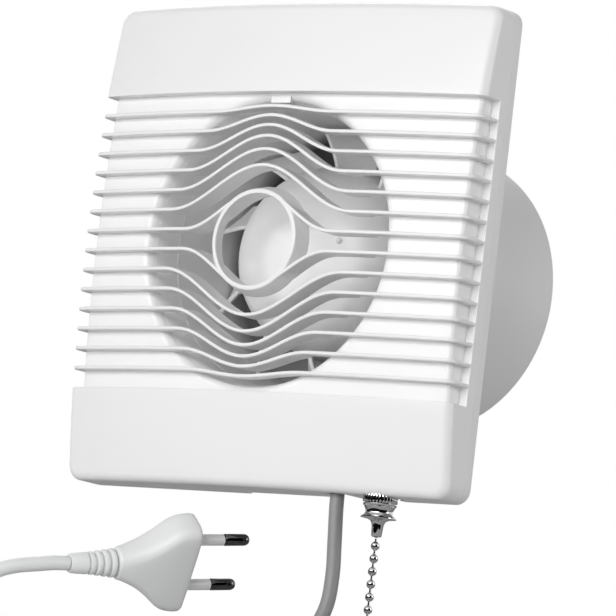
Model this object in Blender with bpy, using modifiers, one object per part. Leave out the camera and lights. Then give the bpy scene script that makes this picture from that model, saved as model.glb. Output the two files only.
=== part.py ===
"""A wall-mounted bathroom exhaust fan with a pull-chain switch, a mains lead and a flat two-pin plug.

Metres, +Z up. X runs across the wall, Y into the wall and through it along the duct, and the room is
at -Y. The origin is where the duct's axis meets the wall.
"""

import math

import bmesh
import bpy
from mathutils import Matrix, Vector

# Clearance between neighbouring pieces
GAP = 0.0003

# Housing, seen from the room
WIDTH = 0.158
HEIGHT = 0.164
CORNER_RADIUS = 0.008
DRAFT = 0.09  # how far each side leans inwards, per unit of depth
CENTRE_DEPTH = 0.0285  # from the wall to the front of the cover, on the axis
SIDE_DROP = 0.0086  # how much nearer to the wall the front is at its side edges
TOP_DROP = 0.0068  # and at its top and bottom edges
EDGE_FILLET = 0.005
COVER_WALL = 0.0022
PANEL_HEIGHT = 0.03145  # of the plain panels above and below the ribs

# Ribbed band across the cover
RIB_COUNT = 14
RIB_PITCH = (HEIGHT / 2 - PANEL_HEIGHT) / ((RIB_COUNT + 1) / 2)
RIB_WALL = 0.0012
RIB_INSET = 0.0001  # ribs sit this far inside the cover's outer surface
RIB_DEPTH = 0.0086  # in the open part, from front to back
RECESS = 0.004  # floor between the ribs, below the front surface
SIDE_RECESS = 0.003
SKIRT = 0.0079  # plain band along the wall, under the ribs' ends
OPENING_RADIUS = 0.0513
# How far ribs 1 to 7, counted from the top, arch up over the ring, and half the width of each arch
ARCHES = (
    (0.0019, 0.024),
    (0.0054, 0.026),
    (0.0088, 0.029),
    (0.0118, 0.032),
    (0.01395, 0.035),
    (0.0152, 0.037),
    (0.0129, 0.030),
)
RING_RADIUS = 0.0163
RING_WALL = 0.0013
RING_DEPTH = 0.0095
TAB_WIDTH = 0.008
TAB_DROP = 0.0032

# Wall plate
PLATE_THICKNESS = 0.0035
RIM_NOTCH = (-0.009, 0.054)  # along the bottom edge
RIM_NOTCH_DEPTH = 0.0028
LOCATING_WALL = 0.0015
FIXING_X = 0.062
FIXING_Z = HEIGHT / 2 - 0.016
FIXING_HOLE = 0.0023

# Duct
DUCT_RADIUS = 0.049
DUCT_WALL = 0.002
DUCT_LENGTH = 0.08075  # behind the wall's face
FLANGE_RADIUS = 0.056
FLANGE_THICKNESS = 0.0015
LIP_FLARE = 0.0044  # how much wider the mouth is than the duct
FLARE_LENGTH = 0.0098
GROOVE_WIDTH = 0.0022
GROOVE_DEPTH = 0.0016

# Motor bracket, in the duct
SPOKE_COUNT = 3
SPOKE_ANGLE = math.radians(-60)
SPOKE_WIDTH = 0.007
BRACKET_Y = 0.036
BRACKET_THICKNESS = 0.0035
BRACKET_RADIUS = 0.0315

# Impeller
HUB_RADIUS = 0.0275
HUB_FRONT = 0.001
HUB_REAR = 0.032
HUB_WALL = 0.0016
HUB_DOME = 0.007
BOSS_RADIUS = 0.005
BLADE_COUNT = 10
BLADE_TIP = 0.0455
BLADE_FRONT = 0.012
BLADE_REAR = 0.029
BLADE_WALL = 0.0015
BLADE_SWEEP = math.radians(720)  # per metre of radius
BLADE_PHASE = math.radians(91)
BLADE_TWIST_ROOT = math.radians(20)
BLADE_TWIST_TIP = math.radians(17)
BLADE_CAMBER = 0.0012

# Motor
SHAFT_RADIUS = 0.002
SHAFT_FRONT = 0.0063
CASE_RADIUS = 0.026
CASE_WALL = 0.0015
CASE_LENGTH = 0.0242
CASE_FLANGE = 0.0017
BEARING_RADIUS = 0.0057
BEARING_LENGTH = 0.003
ROTOR_RADIUS = 0.0124
AIR_GAP = 0.0006
CORE_LENGTH = 0.012
WINDING_LENGTH = 0.0034
WINDING_SPAN = 0.009
MOTOR_SCREW_CIRCLE = 0.0285
MOTOR_SCREW_RADIUS = 0.0015

# Mains lead and plug
CABLE_DIAMETER = 0.0048
CABLE_X = 0.0347
CABLE_Y = -0.012
COIL_CENTRE = (-0.013, -0.035, -HEIGHT / 2 - 0.086)
COIL_OUTER = 0.0353
COIL_TURNS = 5.25
COIL_PITCH = 0.0053
COIL_POINTS = 24
TIE_WIDTH = 0.008
TIE_WALL = 0.0008

# Terminal block and cable clamp
BLOCK_SIZE = (0.016, 0.0092, 0.009)
BLOCK_X = 0.035
BLOCK_Y = -0.0104
TERMINAL_COUNT = 3
WIRE_DIAMETER = 0.0018
WIRE_RISE = 0.002  # how far the wires' middle rises above the block and the switch
MOTOR_LEAD_DIAMETER = 0.0012
CLAMP_Z = -HEIGHT / 2 + 0.0133
CLAMP_SIZE = (0.0192, 0.0021, 0.0055)
CLAMP_SCREW_REACH = 0.007

# Pull switch
SWITCH_X = 0.052
SWITCH_Y = -0.01175
SWITCH_SIZE = (0.014, 0.0175)
SWITCH_FRONT = -0.0157
SWITCH_WALL = 0.0012
SWITCH_RAISE = 0.0045  # from the cover's lower wall up to the switch body
STEM_RADIUS = 0.0039
STEM_BORE = 0.0014
NUT_RADIUS = 0.00575
NUT_LENGTH = 0.0037
BELL_LENGTH = 0.0098
BELL_RIM = 0.006
ROD_RADIUS = 0.0007
COLLAR_RADIUS = 0.0022
COLLAR_DROP = 0.008  # from the top of the switch body down to the collar
BEAD_DIAMETER = 0.003
BEAD_PITCH = 0.00419
BEAD_COUNT = 18
KNOB_RADIUS = 0.0042
KNOB_LENGTH = 0.014

# Plug: X along the pins, Y across the pins, Z through its thickness
PLUG_WIDTH = 0.0353
PLUG_THICKNESS = 0.0137
PLUG_LENGTH = 0.027
PIN_SPACING = 0.0186
PIN_DIAMETER = 0.004
SLEEVE_LENGTH = 0.010
TIP_LENGTH = 0.009
RELIEF_LENGTH = 0.0157
PLUG_FACE = (-0.0142, -0.024, -HEIGHT / 2 - 0.0265)
PLUG_HEADING = math.radians(62)
PLUG_TILT = math.radians(8)
PLUG_ROLL = math.radians(-52)

# Facets round a turned piece
FINE = 40
MEDIUM = 24
COARSE = 16

PART = "bathroom_exhaust_fan"


def clear_scene():
    for obj in list(bpy.data.objects):
        bpy.data.objects.remove(obj, do_unlink=True)


def collection(name):
    made = bpy.data.collections.new(name)
    bpy.context.scene.collection.children.link(made)
    return made


def material(name, colour, roughness, metallic=0.0):
    made = bpy.data.materials.new(name)
    made.use_nodes = True
    shader = made.node_tree.nodes["Principled BSDF"]
    shader.inputs["Base Color"].default_value = (*colour, 1.0)
    shader.inputs["Roughness"].default_value = roughness
    shader.inputs["Metallic"].default_value = metallic
    return made


clear_scene()
PARTS = collection(PART)
CUTTERS = collection("cutters")
WHITE = (0.82, 0.83, 0.84)
OFF_WHITE = (0.78, 0.79, 0.79)
STEEL = (0.62, 0.62, 0.63)
COPPER = (0.62, 0.27, 0.12)
BRASS = (0.65, 0.48, 0.20)
LEAD_GREY = (0.42, 0.42, 0.43)


def finish(obj, colour, roughness=0.4, metallic=0.0):
    """Puts a finished piece in the part's collection, with a material of its own."""
    for holder in list(obj.users_collection):
        holder.objects.unlink(obj)
    PARTS.objects.link(obj)
    obj.data.materials.clear()
    obj.data.materials.append(material(obj.name, colour, roughness, metallic))
    if obj.type == "MESH":
        obj.data.shade_smooth()
        obj.data.set_sharp_from_angle(angle=math.radians(35))
    return obj


def helper(obj):
    """Puts a cutter, or a shape that is only joined on, out of the way."""
    for holder in list(obj.users_collection):
        holder.objects.unlink(obj)
    CUTTERS.objects.link(obj)
    obj.hide_render = True
    obj.display_type = "WIRE"
    return obj


def cut(obj, *others):
    for other in others:
        modifier = obj.modifiers.new("Cut " + other.name, "BOOLEAN")
        modifier.operation = "DIFFERENCE"
        modifier.object = other
    return obj


def join(obj, *others):
    for other in others:
        modifier = obj.modifiers.new("Join " + other.name, "BOOLEAN")
        modifier.operation = "UNION"
        modifier.object = other
    return obj


def flat(face):
    corner = face.verts[0].co
    return all(abs((v.co - corner).dot(face.normal)) < 1e-8 for v in face.verts)


def object_from(name, shape):
    """Makes an object of a closed shape. Its curved faces are split, so that a Boolean meets flat ones."""
    mesh = bpy.data.meshes.new(name)
    bmesh.ops.recalc_face_normals(shape, faces=shape.faces)
    curved = [face for face in shape.faces if len(face.verts) == 4 and not flat(face)]
    bmesh.ops.triangulate(shape, faces=curved)
    shape.to_mesh(mesh)
    shape.free()
    obj = bpy.data.objects.new(name, mesh)
    PARTS.objects.link(obj)
    return obj


def box(name, low, high, bevel=0.0):
    """A box between two corners, its edges rounded by a Bevel if asked."""
    low, high = Vector(low), Vector(high)
    shape = bmesh.new()
    bmesh.ops.create_cube(shape, size=1.0)
    for vertex in shape.verts:
        for axis in range(3):
            vertex.co[axis] *= high[axis] - low[axis]
    obj = object_from(name, shape)
    obj.location = (low + high) / 2
    if bevel:
        modifier = obj.modifiers.new("Bevel", "BEVEL")
        modifier.width = bevel
        modifier.segments = 2
    return obj


def rod(name, radius, start, end, steps=COARSE):
    """A solid cylinder between two points."""
    start, end = Vector(start), Vector(end)
    shape = bmesh.new()
    bmesh.ops.create_cone(
        shape,
        cap_ends=True,
        segments=steps,
        radius1=radius,
        radius2=radius,
        depth=(end - start).length,
    )
    obj = object_from(name, shape)
    obj.location = (start + end) / 2
    obj.rotation_mode = "QUATERNION"
    obj.rotation_quaternion = (end - start).to_track_quat("Z", "Y")
    return obj


def turned(name, profile, steps=FINE, closed=False):
    """A profile of (radius, height) turned about Z. It starts at the top and runs down the outer side."""
    edges = [(i, i + 1) for i in range(len(profile) - 1)]
    if closed:
        edges.append((len(profile) - 1, 0))
    mesh = bpy.data.meshes.new(name)
    mesh.from_pydata([(radius, 0.0, height) for radius, height in profile], edges, [])
    obj = bpy.data.objects.new(name, mesh)
    PARTS.objects.link(obj)
    screw = obj.modifiers.new("Screw", "SCREW")
    screw.steps = screw.render_steps = steps
    screw.use_merge_vertices = True
    screw.merge_threshold = 0.00001
    return obj


def along_duct(obj):
    """Turns a piece so that its own Z runs along the duct, into the wall."""
    obj.rotation_euler = (-math.pi / 2, 0.0, 0.0)
    return obj


def hollow(inner, outer, low, high):
    """The closed profile of a plain ring."""
    return [(inner, high), (outer, high), (outer, low), (inner, low)]


def loft(name, rings, tip=None):
    """Skins rings of equal count. The ends are capped flat, or the last one comes to a tip."""
    shape = bmesh.new()
    made = [[shape.verts.new(point) for point in ring] for ring in rings]
    count = len(rings[0])
    for ring, following in zip(made, made[1:]):
        for i in range(count):
            j = (i + 1) % count
            shape.faces.new((ring[i], ring[j], following[j], following[i]))
    shape.faces.new(made[0][::-1])
    if tip is None:
        shape.faces.new(made[-1])
    else:
        point = shape.verts.new(tip)
        for i in range(count):
            shape.faces.new((made[-1][i], made[-1][(i + 1) % count], point))
    return object_from(name, shape)


def prism(name, outline, front, back):
    """A closed outline of (x, z), taken from one depth to another."""
    rings = [[(x, y, z) for x, z in outline] for y in (front, back)]
    return loft(name, rings)


def rounded(half_width, half_height, radius, per_corner=3, per_side=1):
    """Points of a rounded rectangle, as (x, z), with its sides divided evenly."""
    corners = ((1, 1, 0), (-1, 1, 1), (-1, -1, 2), (1, -1, 3))
    arcs = []
    for side_x, side_z, quarter in corners:
        centre_x = side_x * (half_width - radius)
        centre_z = side_z * (half_height - radius)
        arc = []
        for step in range(per_corner + 1):
            angle = math.pi / 2 * (quarter + step / per_corner)
            arc.append(
                (centre_x + radius * math.cos(angle), centre_z + radius * math.sin(angle))
            )
        arcs.append(arc)
    points = []
    for arc, following in zip(arcs, arcs[1:] + arcs[:1]):
        points += arc
        start, end = arc[-1], following[0]
        for step in range(1, per_side):
            share = step / per_side
            points.append(
                (
                    start[0] + (end[0] - start[0]) * share,
                    start[1] + (end[1] - start[1]) * share,
                )
            )
    return points


def front_y(x, z):
    """The cover's front surface: a shallow pillow, deepest on the axis."""
    across = (x / (WIDTH / 2)) ** 2
    up = (z / (HEIGHT / 2)) ** 2
    return -(CENTRE_DEPTH - SIDE_DROP * across - TOP_DROP * up)


COVER_BACK = -PLATE_THICKNESS - GAP
EDGE_LEAN = DRAFT * (CENTRE_DEPTH - SIDE_DROP - TOP_DROP)
BAND_HALF = (RIB_COUNT + 1) / 2 * RIB_PITCH


def cover_block(name, side_in, front_in, back):
    """The cover's outer form as a solid, drawn in at its sides and at its front."""
    fillet = max(EDGE_FILLET - max(side_in, front_in), EDGE_FILLET / 5)
    radius = max(CORNER_RADIUS - side_in, CORNER_RADIUS / 4)

    def ring(inset, share=1.0):
        points = rounded(
            WIDTH / 2 - side_in - inset,
            HEIGHT / 2 - side_in - inset,
            max(radius - inset, radius / 5),
            per_side=6,
        )
        return [(x * share, z * share) for x, z in points]

    rings = [[(x, back, z) for x, z in ring(DRAFT * max(0.0, -back))]]
    for angle in (0.0, math.pi / 4, math.pi / 2):
        inset = EDGE_LEAN + fillet * (1 - math.cos(angle))
        behind = front_in + fillet * (1 - math.sin(angle))
        rings.append([(x, front_y(x, z) + behind, z) for x, z in ring(inset)])
    for share in (0.7, 0.4, 0.15):
        inset = EDGE_LEAN + fillet
        rings.append([(x, front_y(x, z) + front_in, z) for x, z in ring(inset, share)])
    return loft(name, rings, tip=(0.0, front_y(0.0, 0.0) + front_in, 0.0))


def rib_height(number, x):
    """How high rib `number` (1 at the top) runs at x: level, with an arch over the ring."""
    upper = number <= RIB_COUNT // 2
    level = ((RIB_COUNT + 1) / 2 - number) * RIB_PITCH
    rise, half_width = ARCHES[(number if upper else RIB_COUNT + 1 - number) - 1]
    bump = 0.0
    if abs(x) < half_width:
        bump = rise * (1 + math.cos(math.pi * x / half_width)) / 2
    return level + (bump if upper else -bump)


def rib_rings(number):
    """Sections of one rib, from the skirt on one side, over the front, to the skirt on the other."""
    half_width = ARCHES[min(number, RIB_COUNT + 1 - number) - 1][1]
    edge = WIDTH / 2 - EDGE_LEAN - RIB_INSET
    flat = edge - EDGE_FILLET
    foot = EDGE_FILLET / 10
    right = []
    for share in (0.0, 0.25, 0.5, 0.75, 1.0):
        right.append((half_width * share, 0.0))
    right.append(((half_width + flat) / 2, 0.0))
    for angle in (0.0, math.pi / 4, math.pi / 2):
        right.append((flat, angle))
    right.append((edge, None))
    stations = [(-x, angle) for x, angle in right[:0:-1]] + right
    rings = []
    for x, angle in stations:
        side = 1 if x > 0 else -1
        z = rib_height(number, x)
        surface = front_y(x, z) + RIB_INSET
        if angle is None:
            lean = EDGE_LEAN - DRAFT * SKIRT
            outer = Vector((x + side * lean, -SKIRT + foot, z))
            inner = outer - Vector((side * (SIDE_RECESS + COVER_WALL / 2), 0.0, 0.0))
        else:
            outward = Vector((side * math.sin(angle), -math.cos(angle), 0.0))
            centre = Vector((x, surface + EDGE_FILLET, z))
            outer = centre + outward * EDGE_FILLET
            in_opening = math.hypot(x, z) < OPENING_RADIUS - RIB_PITCH / 2
            depth = min(RECESS + COVER_WALL / 2, EDGE_FILLET * 0.96)
            if angle == 0.0 and in_opening:
                depth = RIB_DEPTH
            inner = outer - outward * depth
        half = Vector((0.0, 0.0, RIB_WALL / 2))
        rings.append([outer + half, outer - half, inner - half, inner + half])
    return rings


def ribs():
    """All the ribs in one helper mesh, because the cover takes them in one join."""
    shape = bmesh.new()
    for number in range(1, RIB_COUNT + 1):
        rings = rib_rings(number)
        made = [[shape.verts.new(point) for point in ring] for ring in rings]
        for ring, following in zip(made, made[1:]):
            for i in range(4):
                j = (i + 1) % 4
                shape.faces.new((ring[i], ring[j], following[j], following[i]))
        shape.faces.new(made[0][::-1])
        shape.faces.new(made[-1])
    return helper(object_from("rib_bodies", shape))


def cable_slot(name, x, y, radius):
    """A slot in the cover's lower wall, open towards the wall plate, so that the cover lifts off."""
    low = -HEIGHT / 2 - COVER_WALL
    high = -HEIGHT / 2 + 3 * COVER_WALL
    slot = box(name, (x - radius, y, low), (x + radius, 0.0, high))
    end = rod(name + "_end", radius * 1.0005, (x, y, low + GAP), (x, y, high - GAP), FINE)
    return helper(join(slot, helper(end)))


def front_cover():
    """The white moulding: plain top and bottom panels, a ribbed band between, an inlet behind the ribs."""
    cover = cover_block("front_cover", 0.0, 0.0, COVER_BACK)
    far = WIDTH
    band = box("band", (-far, -far, -BAND_HALF), (far, -SKIRT, BAND_HALF))
    floor = cover_block("recess_floor", SIDE_RECESS, RECESS, COVER_BACK - COVER_WALL)
    cavity = cover_block("cavity", COVER_WALL, COVER_WALL, 0.0)
    kept = BAND_HALF + COVER_WALL
    keep = box("keep", (-far, -far, -kept), (far, -SKIRT + COVER_WALL, kept))
    inner = cover_block(
        "band_cavity", SIDE_RECESS + COVER_WALL, RECESS + COVER_WALL, COVER_BACK
    )
    join(cut(helper(cavity), helper(keep)), helper(inner))
    opening = []
    limit = BAND_HALF - 2 * GAP
    for step in range(FINE):
        angle = 2 * math.pi * (step + 0.5) / FINE
        z = OPENING_RADIUS * math.sin(angle)
        opening.append((OPENING_RADIUS * math.cos(angle), max(-limit, min(limit, z))))
    mouth = helper(prism("inlet", opening, -2 * CENTRE_DEPTH, COVER_BACK))
    cut(cover, helper(band))
    join(cover, helper(floor))
    cut(cover, helper(cavity), mouth)
    ring_front = front_y(0.0, 0.0) + RIB_INSET
    ring = turned(
        "ring",
        hollow(
            RING_RADIUS - RING_WALL / 2,
            RING_RADIUS + RING_WALL / 2,
            ring_front,
            ring_front + RING_DEPTH,
        ),
        closed=True,
    )
    tab_y = front_y(0.0, BAND_HALF) + RECESS
    tab = box(
        "tab",
        (-TAB_WIDTH / 2, tab_y + GAP, BAND_HALF - TAB_DROP),
        (TAB_WIDTH / 2, tab_y + COVER_WALL - GAP, BAND_HALF + COVER_WALL),
    )
    join(cover, ribs(), helper(along_duct(ring)), helper(tab))
    cut(
        cover,
        cable_slot("cable_slot", CABLE_X, CABLE_Y, GROMMET_RADIUS + GAP),
        cable_slot("switch_slot", SWITCH_X, SWITCH_Y, STEM_RADIUS + GAP),
    )
    return finish(cover, WHITE, 0.35)


LOCATING_HEIGHT = SKIRT - COVER_WALL - PLATE_THICKNESS - GAP
GROMMET_RADIUS = CABLE_DIAMETER / 2 + 0.0013
UNDERSIDE = -HEIGHT / 2 - DRAFT * CABLE_Y  # the cover's lower face, at the cable's depth


def clear_of(radius, x):
    """How low a corner at x has to be, to lie outside a circle on the duct's axis."""
    return math.sqrt((radius + GAP) ** 2 - x**2) + GAP


# The terminal block stands just below the duct: its seat clears the flange, and it clears the mouth
BLOCK_Z = -max(
    clear_of(FLANGE_RADIUS, BLOCK_X - BLOCK_SIZE[0] / 3) + BLOCK_SIZE[2] / 3,
    clear_of(DUCT_RADIUS + LIP_FLARE, BLOCK_X - BLOCK_SIZE[0] / 2) + BLOCK_SIZE[2] / 2,
)
BLOCK_CENTRE = (BLOCK_X, BLOCK_Y, BLOCK_Z)
BOSS_TOP = CABLE_Y - CABLE_DIAMETER / 2
CLAMP_REACH = CLAMP_SIZE[0] / 2 - 0.0026


def wall_plate():
    """The back plate screwed to the wall, with the wall that locates the cover and the seats inside."""
    outline = rounded(WIDTH / 2, HEIGHT / 2, CORNER_RADIUS)
    plate = prism("wall_plate", outline, -PLATE_THICKNESS, 0.0)
    inset = DRAFT * (PLATE_THICKNESS + LOCATING_HEIGHT) + COVER_WALL + GAP
    front = -PLATE_THICKNESS - LOCATING_HEIGHT
    sunk = -PLATE_THICKNESS / 2
    radius = CORNER_RADIUS - inset
    outer = rounded(WIDTH / 2 - inset, HEIGHT / 2 - inset, radius)
    inset += LOCATING_WALL
    radius -= LOCATING_WALL
    inner = rounded(WIDTH / 2 - inset, HEIGHT / 2 - inset, radius)
    fence = helper(prism("locating_wall", outer, front, sunk))
    cut(fence, helper(prism("inside_wall", inner, 2 * front, 0.0)))
    way_low = CABLE_X - 2 * GROMMET_RADIUS
    way_high = SWITCH_X + SWITCH_SIZE[0] / 2 + LOCATING_WALL
    way = box("lead_way", (way_low, 2 * front, -HEIGHT), (way_high, 0.01, -HEIGHT / 3))
    cut(fence, helper(way))
    seat = box(
        "block_seat",
        (
            BLOCK_CENTRE[0] - BLOCK_SIZE[0] / 3,
            BLOCK_CENTRE[1] + BLOCK_SIZE[1] / 2 + GAP,
            BLOCK_CENTRE[2] - BLOCK_SIZE[2] / 3,
        ),
        (BLOCK_CENTRE[0] + BLOCK_SIZE[0] / 3, sunk, BLOCK_CENTRE[2] + BLOCK_SIZE[2] / 3),
    )
    half = CLAMP_SIZE[2] / 2
    saddle = box(
        "saddle",
        (CABLE_X - 0.0035, CABLE_Y + CABLE_DIAMETER / 2 + GAP, CLAMP_Z - half),
        (CABLE_X + 0.0035, sunk, CLAMP_Z + half),
    )
    join(plate, fence, helper(seat), helper(saddle))
    for side in (-1, 1):
        x = CABLE_X + side * CLAMP_REACH
        boss = rod("boss", 0.0023, (x, sunk, CLAMP_Z), (x, BOSS_TOP, CLAMP_Z))
        join(plate, helper(boss))
        reach = BOSS_TOP + CLAMP_SCREW_REACH
        hole = rod("boss_hole", 0.0014, (x, 2 * BOSS_TOP, CLAMP_Z), (x, reach, CLAMP_Z))
        cut(plate, helper(hole))
    bore = DUCT_RADIUS + GAP
    cut(plate, helper(rod("duct_hole", bore, (0, -0.05, 0), (0, 0.05, 0), FINE)))
    for x in (-FIXING_X, FIXING_X):
        for z in (-FIXING_Z, FIXING_Z):
            hole = rod("fixing_hole", FIXING_HOLE, (x, -0.01, z), (x, 0.01, z))
            cut(plate, helper(hole))
    notch = box(
        "rim_notch",
        (RIM_NOTCH[0], -0.01, -HEIGHT),
        (RIM_NOTCH[1], 0.01, -HEIGHT / 2 + RIM_NOTCH_DEPTH),
    )
    cut(plate, helper(notch))
    return finish(plate, OFF_WHITE, 0.5)


def radial_box(name, angle, low, high, width):
    """A box set radially in the duct: low and high are its corners as (radius, depth)."""
    shape = box(name, (low[0], low[1], -width / 2), (high[0], high[1], width / 2))
    centre = shape.location.copy()
    shape.location = Matrix.Rotation(-angle, 3, "Y") @ centre
    shape.rotation_euler = (0.0, -angle, 0.0)
    return helper(shape)


def duct_spigot():
    """The tube through the wall: a flared mouth, a flange on the plate, and the motor's bracket."""
    inner = DUCT_RADIUS - DUCT_WALL
    flange = -PLATE_THICKNESS - GAP
    end = front_y(DUCT_RADIUS + LIP_FLARE, 0.0) + RECESS + COVER_WALL + 2 * GAP
    start = end + FLARE_LENGTH
    profile = [(inner, DUCT_LENGTH), (DUCT_RADIUS, DUCT_LENGTH), (DUCT_RADIUS, flange)]
    profile += [(FLANGE_RADIUS, flange), (FLANGE_RADIUS, flange - FLANGE_THICKNESS)]
    profile += [(DUCT_RADIUS, flange - FLANGE_THICKNESS)]
    shares = (0.0, 0.3, 0.6, 0.85, 1.0)
    for share in shares:
        flare = LIP_FLARE * (1 - math.sqrt(1 - share**2))
        profile.append((DUCT_RADIUS + flare, start + (end - start) * share * 0.97))
    for share in shares[::-1]:
        flare = LIP_FLARE * (1 - math.sqrt(1 - share**2))
        profile.append((inner + flare, start + (end - start) * share))
    duct = along_duct(turned("duct_spigot", profile, closed=True))
    rear = BRACKET_Y + BRACKET_THICKNESS
    disc = turned(
        "bracket_disc",
        hollow(BEARING_RADIUS + GAP, BRACKET_RADIUS, BRACKET_Y, rear),
        closed=True,
    )
    join(duct, helper(along_duct(disc)))
    for number in range(SPOKE_COUNT):
        angle = SPOKE_ANGLE + 2 * math.pi * number / SPOKE_COUNT
        join(
            duct,
            radial_box(
                "spoke",
                angle,
                (BRACKET_RADIUS - 0.001, BRACKET_Y + GAP),
                (inner + DUCT_WALL / 3, rear - GAP),
                SPOKE_WIDTH,
            ),
        )
        x, z = polar(MOTOR_SCREW_CIRCLE, angle + math.pi / SPOKE_COUNT)
        hole = rod(
            "screw_hole",
            MOTOR_SCREW_RADIUS + GAP,
            (x, BRACKET_Y - 0.01, z),
            (x, rear + 0.01, z),
        )
        cut(duct, helper(hole))
    groove = radial_box(
        "groove",
        SPOKE_ANGLE,
        (inner - 0.004, -0.0086),
        (inner + GROOVE_DEPTH, rear + 0.0035),
        GROOVE_WIDTH,
    )
    way_in = radial_box(
        "way_in",
        SPOKE_ANGLE,
        (inner - 0.002, -0.0085),
        (DUCT_RADIUS + 0.002, -0.0044),
        GROOVE_WIDTH * 1.01,
    )
    cut(duct, groove, way_in)
    return finish(duct, WHITE, 0.4)


def polar(radius, angle):
    return radius * math.cos(angle), radius * math.sin(angle)


def blade_rings(number):
    """Sections of one blade, from inside the hub's wall to the tip."""
    root = HUB_RADIUS - HUB_WALL / 2
    rings = []
    for share in (0.0, 0.35, 0.7, 1.0):
        radius = root + (BLADE_TIP - root) * share
        lead = BLADE_PHASE + 2 * math.pi * number / BLADE_COUNT
        lead += BLADE_SWEEP * (radius - (HUB_RADIUS + BLADE_TIP) / 2)
        twist = BLADE_TWIST_ROOT + (BLADE_TWIST_TIP - BLADE_TWIST_ROOT) * share
        chord = Vector((-twist * radius, BLADE_REAR - BLADE_FRONT))
        normal = Vector((chord.y, -chord.x)).normalized()
        middle = []
        for along in (0.0, 0.5, 1.0):
            bow = BLADE_CAMBER * (1 - (2 * along - 1) ** 2)
            middle.append(chord * along + normal * bow)
        half = [BLADE_WALL / 3, BLADE_WALL / 2, BLADE_WALL / 3]
        section = [m + normal * h for m, h in zip(middle, half)]
        section += [m - normal * h for m, h in zip(middle[::-1], half[::-1])]
        ring = []
        for around, depth in section:
            x, z = polar(radius, lead + around / radius)
            ring.append((x, BLADE_FRONT + depth, z))
        rings.append(ring)
    return rings


def impeller():
    """The axial impeller: a domed cup with ten blades and a boss for the motor's shaft."""
    dome = [(0.0, HUB_FRONT - HUB_DOME)]
    inside = []
    for share in (0.3, 0.6, 0.85, 1.0):
        rise = HUB_DOME * (1 - math.sqrt(max(0.0, 1 - share**2 * 0.98)))
        dome.append((HUB_RADIUS * share, HUB_FRONT - HUB_DOME + rise))
        inside.append(
            ((HUB_RADIUS - HUB_WALL) * share, HUB_FRONT - HUB_DOME + HUB_WALL + rise)
        )
    profile = [(HUB_RADIUS - HUB_WALL, HUB_REAR), (HUB_RADIUS, HUB_REAR)] + dome[::-1]
    bore = SHAFT_RADIUS + GAP
    bore_front = SHAFT_FRONT - GAP
    boss = [(0.0, bore_front), (bore, bore_front), (bore, BOSS_REAR)]
    boss += [(BOSS_RADIUS, BOSS_REAR), (BOSS_RADIUS, inside[0][1])]
    hub = along_duct(turned("impeller", profile + boss + inside, closed=True))
    shape = bmesh.new()
    for number in range(BLADE_COUNT):
        made = [[shape.verts.new(p) for p in ring] for ring in blade_rings(number)]
        count = len(made[0])
        for ring, following in zip(made, made[1:]):
            for i in range(count):
                j = (i + 1) % count
                shape.faces.new((ring[i], ring[j], following[j], following[i]))
        shape.faces.new(made[0][::-1])
        shape.faces.new(made[-1])
    join(hub, helper(object_from("blades", shape)))
    return finish(hub, WHITE, 0.4)


BRACKET_REAR = BRACKET_Y + BRACKET_THICKNESS
BOSS_REAR = BRACKET_Y - 0.0027
CASE_FRONT = BRACKET_REAR + GAP
CASE_REAR = CASE_FRONT + CASE_LENGTH
CORE_FRONT = CASE_FRONT + GAP + WINDING_LENGTH + GAP
CORE_REAR = CORE_FRONT + CORE_LENGTH
STATOR_BORE = ROTOR_RADIUS + AIR_GAP


def ring_piece(name, inner, outer, low, high, colour, roughness, metallic=0.0, steps=MEDIUM):
    piece = along_duct(turned(name, hollow(inner, outer, low, high), steps, closed=True))
    return finish(piece, colour, roughness, metallic)


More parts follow.
